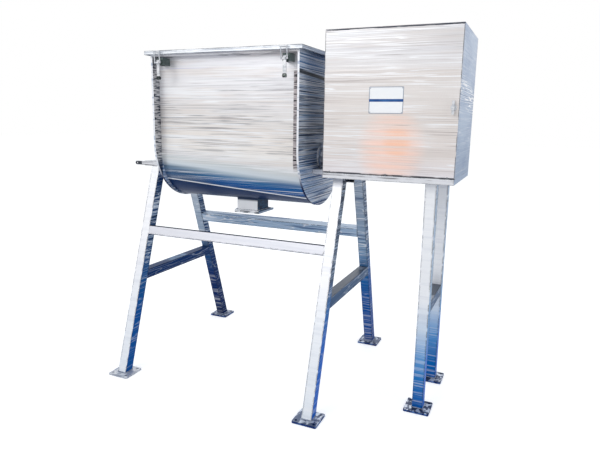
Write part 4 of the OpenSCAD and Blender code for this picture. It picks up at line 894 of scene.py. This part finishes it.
bm = bmesh.new()
for x in (CARD_X0 + RIVET_INSET, CARD_X1 - RIVET_INSET):
    for z in (CARD_Z0 + RIVET_INSET, CARD_Z1 - RIVET_INSET):
        stud(bm, x, door_low.y - CARD_T, z, RIVET_R, RIVET_RISE)
piece("card_rivets", bm, ZINC, "door", smooth=True)

# Studs on the deck's front edge, under the door
deck_low, deck_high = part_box("drive_deck")
bm = bmesh.new()
for x in (door_low.x + STUD_FROM_LEFT, (door_low.x + door_high.x) / 2,
          door_high.x - STUD_FROM_RIGHT):
    stud(bm, x, deck_low.y, deck_high.z - STUD_DROP, STUD_R, STUD_RISE)
piece("deck_studs", bm, MACHINED, "stand", smooth=True)

# Weld beads round the foot of each leg
foot_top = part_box("foot_plates")[1].z
for leg in ("leg_left_front", "leg_left_rear", "leg_mid_front", "leg_mid_rear", "drive_legs"):
    bm = bmesh.new()
    for corners in outline_at(leg, foot_top + BEAD_LIFT):
        weld_bead(bm, corners, BEAD_R)
    piece("weld_" + leg, bm, WELD, "stand", smooth=True)


# Camera, as the photograph's

CAMERA_PLACE = (1.1835, -2.540, 1.357)
YAW, PITCH, ROLL = 23.75, 11.31, 0.87  # degrees: to the left, down and round the view
FOCAL_PX, PICTURE_PX = 529, 600
SENSOR_MM = 36


def aim_camera():
    yaw, pitch, roll = (math.radians(a) for a in (YAW, PITCH, ROLL))
    ahead = Vector((-math.sin(yaw) * math.cos(pitch), math.cos(yaw) * math.cos(pitch),
                    -math.sin(pitch)))
    level = Vector((math.cos(yaw), math.sin(yaw), 0))
    upright = level.cross(ahead)
    right = math.cos(roll) * level + math.sin(roll) * upright
    up = -math.sin(roll) * level + math.cos(roll) * upright
    data = bpy.data.cameras.new("camera")
    data.sensor_fit = "HORIZONTAL"
    data.sensor_width = SENSOR_MM
    data.lens = FOCAL_PX / PICTURE_PX * SENSOR_MM
    camera = bpy.data.objects.new("camera", data)
    turned = Matrix((right, up, -ahead)).transposed().to_4x4()
    turned.translation = Vector(CAMERA_PLACE)
    camera.matrix_world = turned
    bpy.context.scene.collection.objects.link(camera)
    bpy.context.scene.camera = camera


aim_camera()


# Floor, background and lamps

FLOOR_COLOUR = (0.82, 0.83, 0.85, 1)
FLOOR_GLOW = 0.45
FLOOR_HALF, FLOOR_DROP = 30, 0.0005
SKY_COLOUR, SKY_STRENGTH = (0.96, 0.98, 1.0, 1), 0.72
BACKGROUND = (1, 1, 1, 1)


def emptied(owner):
    """The owner's node tree, with nothing in it."""
    owner.use_nodes = True
    owner.node_tree.nodes.clear()
    return owner.node_tree


def math_node(tree, operation):
    node = tree.nodes.new("ShaderNodeMath")
    node.operation = operation
    return node


def floor_finish():
    """White to the camera, with the object's soft shadow left on it."""
    mat = bpy.data.materials.new("floor")
    t = emptied(mat)
    out = t.nodes.new("ShaderNodeOutputMaterial")
    diffuse = t.nodes.new("ShaderNodeBsdfDiffuse")
    diffuse.inputs["Color"].default_value = FLOOR_COLOUR
    glow = t.nodes.new("ShaderNodeEmission")
    glow.inputs["Color"].default_value = BACKGROUND
    path = t.nodes.new("ShaderNodeLightPath")
    strength = math_node(t, "MULTIPLY")
    strength.inputs[1].default_value = FLOOR_GLOW
    t.links.new(path.outputs["Is Camera Ray"], strength.inputs[0])
    t.links.new(strength.outputs[0], glow.inputs["Strength"])
    both = t.nodes.new("ShaderNodeAddShader")
    t.links.new(diffuse.outputs[0], both.inputs[0])
    t.links.new(glow.outputs[0], both.inputs[1])
    t.links.new(both.outputs[0], out.inputs["Surface"])
    return mat


def make_floor():
    bm = bmesh.new()
    bmesh.ops.create_grid(bm, x_segments=1, y_segments=1, size=FLOOR_HALF)
    mesh = bpy.data.meshes.new("floor")
    bm.to_mesh(mesh)
    bm.free()
    floor = bpy.data.objects.new("floor", mesh)
    floor.location.z = -FLOOR_DROP
    mesh.materials.append(floor_finish())
    bpy.context.scene.collection.objects.link(floor)


def make_world():
    """White where it is seen or mirrored, and a plain pale light elsewhere."""
    world = bpy.data.worlds.new("world")
    bpy.context.scene.world = world
    t = emptied(world)
    out = t.nodes.new("ShaderNodeOutputWorld")
    seen = t.nodes.new("ShaderNodeBackground")
    seen.inputs["Color"].default_value = BACKGROUND
    seen.inputs["Strength"].default_value = 1.0
    lit = t.nodes.new("ShaderNodeBackground")
    lit.inputs["Color"].default_value = SKY_COLOUR
    lit.inputs["Strength"].default_value = SKY_STRENGTH
    path = t.nodes.new("ShaderNodeLightPath")
    camera_or_glossy = math_node(t, "MAXIMUM")
    t.links.new(path.outputs["Is Camera Ray"], camera_or_glossy.inputs[0])
    t.links.new(path.outputs["Is Glossy Ray"], camera_or_glossy.inputs[1])
    white = math_node(t, "MAXIMUM")
    t.links.new(camera_or_glossy.outputs[0], white.inputs[0])
    t.links.new(path.outputs["Is Transmission Ray"], white.inputs[1])
    mix = t.nodes.new("ShaderNodeMixShader")
    t.links.new(white.outputs[0], mix.inputs[0])
    t.links.new(lit.outputs[0], mix.inputs[1])
    t.links.new(seen.outputs[0], mix.inputs[2])
    t.links.new(mix.outputs[0], out.inputs["Surface"])


def lamp(name, place, aim, size, power, colour):
    data = bpy.data.lights.new(name, "AREA")
    data.shape = "RECTANGLE"
    data.size, data.size_y = size
    data.energy = power
    data.color = colour
    obj = bpy.data.objects.new(name, data)
    obj.location = place
    obj.rotation_euler = (Vector(aim) - Vector(place)).to_track_quat("-Z", "Y").to_euler()
    bpy.context.scene.collection.objects.link(obj)


make_floor()
bpy.context.scene.view_settings.view_transform = "Standard"
make_world()
lamp("key", (-1.6, -4.2, 3.6), (0, 0, 1.1), (3.2, 2.4), 62, (1.0, 0.985, 0.965))
lamp("rear", (-0.6, 4.4, 3.2), (0, 0, 1.1), (3.2, 2.4), 40, (0.97, 0.985, 1.0))
lamp("fill", (4.2, -1.4, 2.4), (0.3, 0, 1.0), (2.4, 2.4), 24, (0.94, 0.97, 1.0))
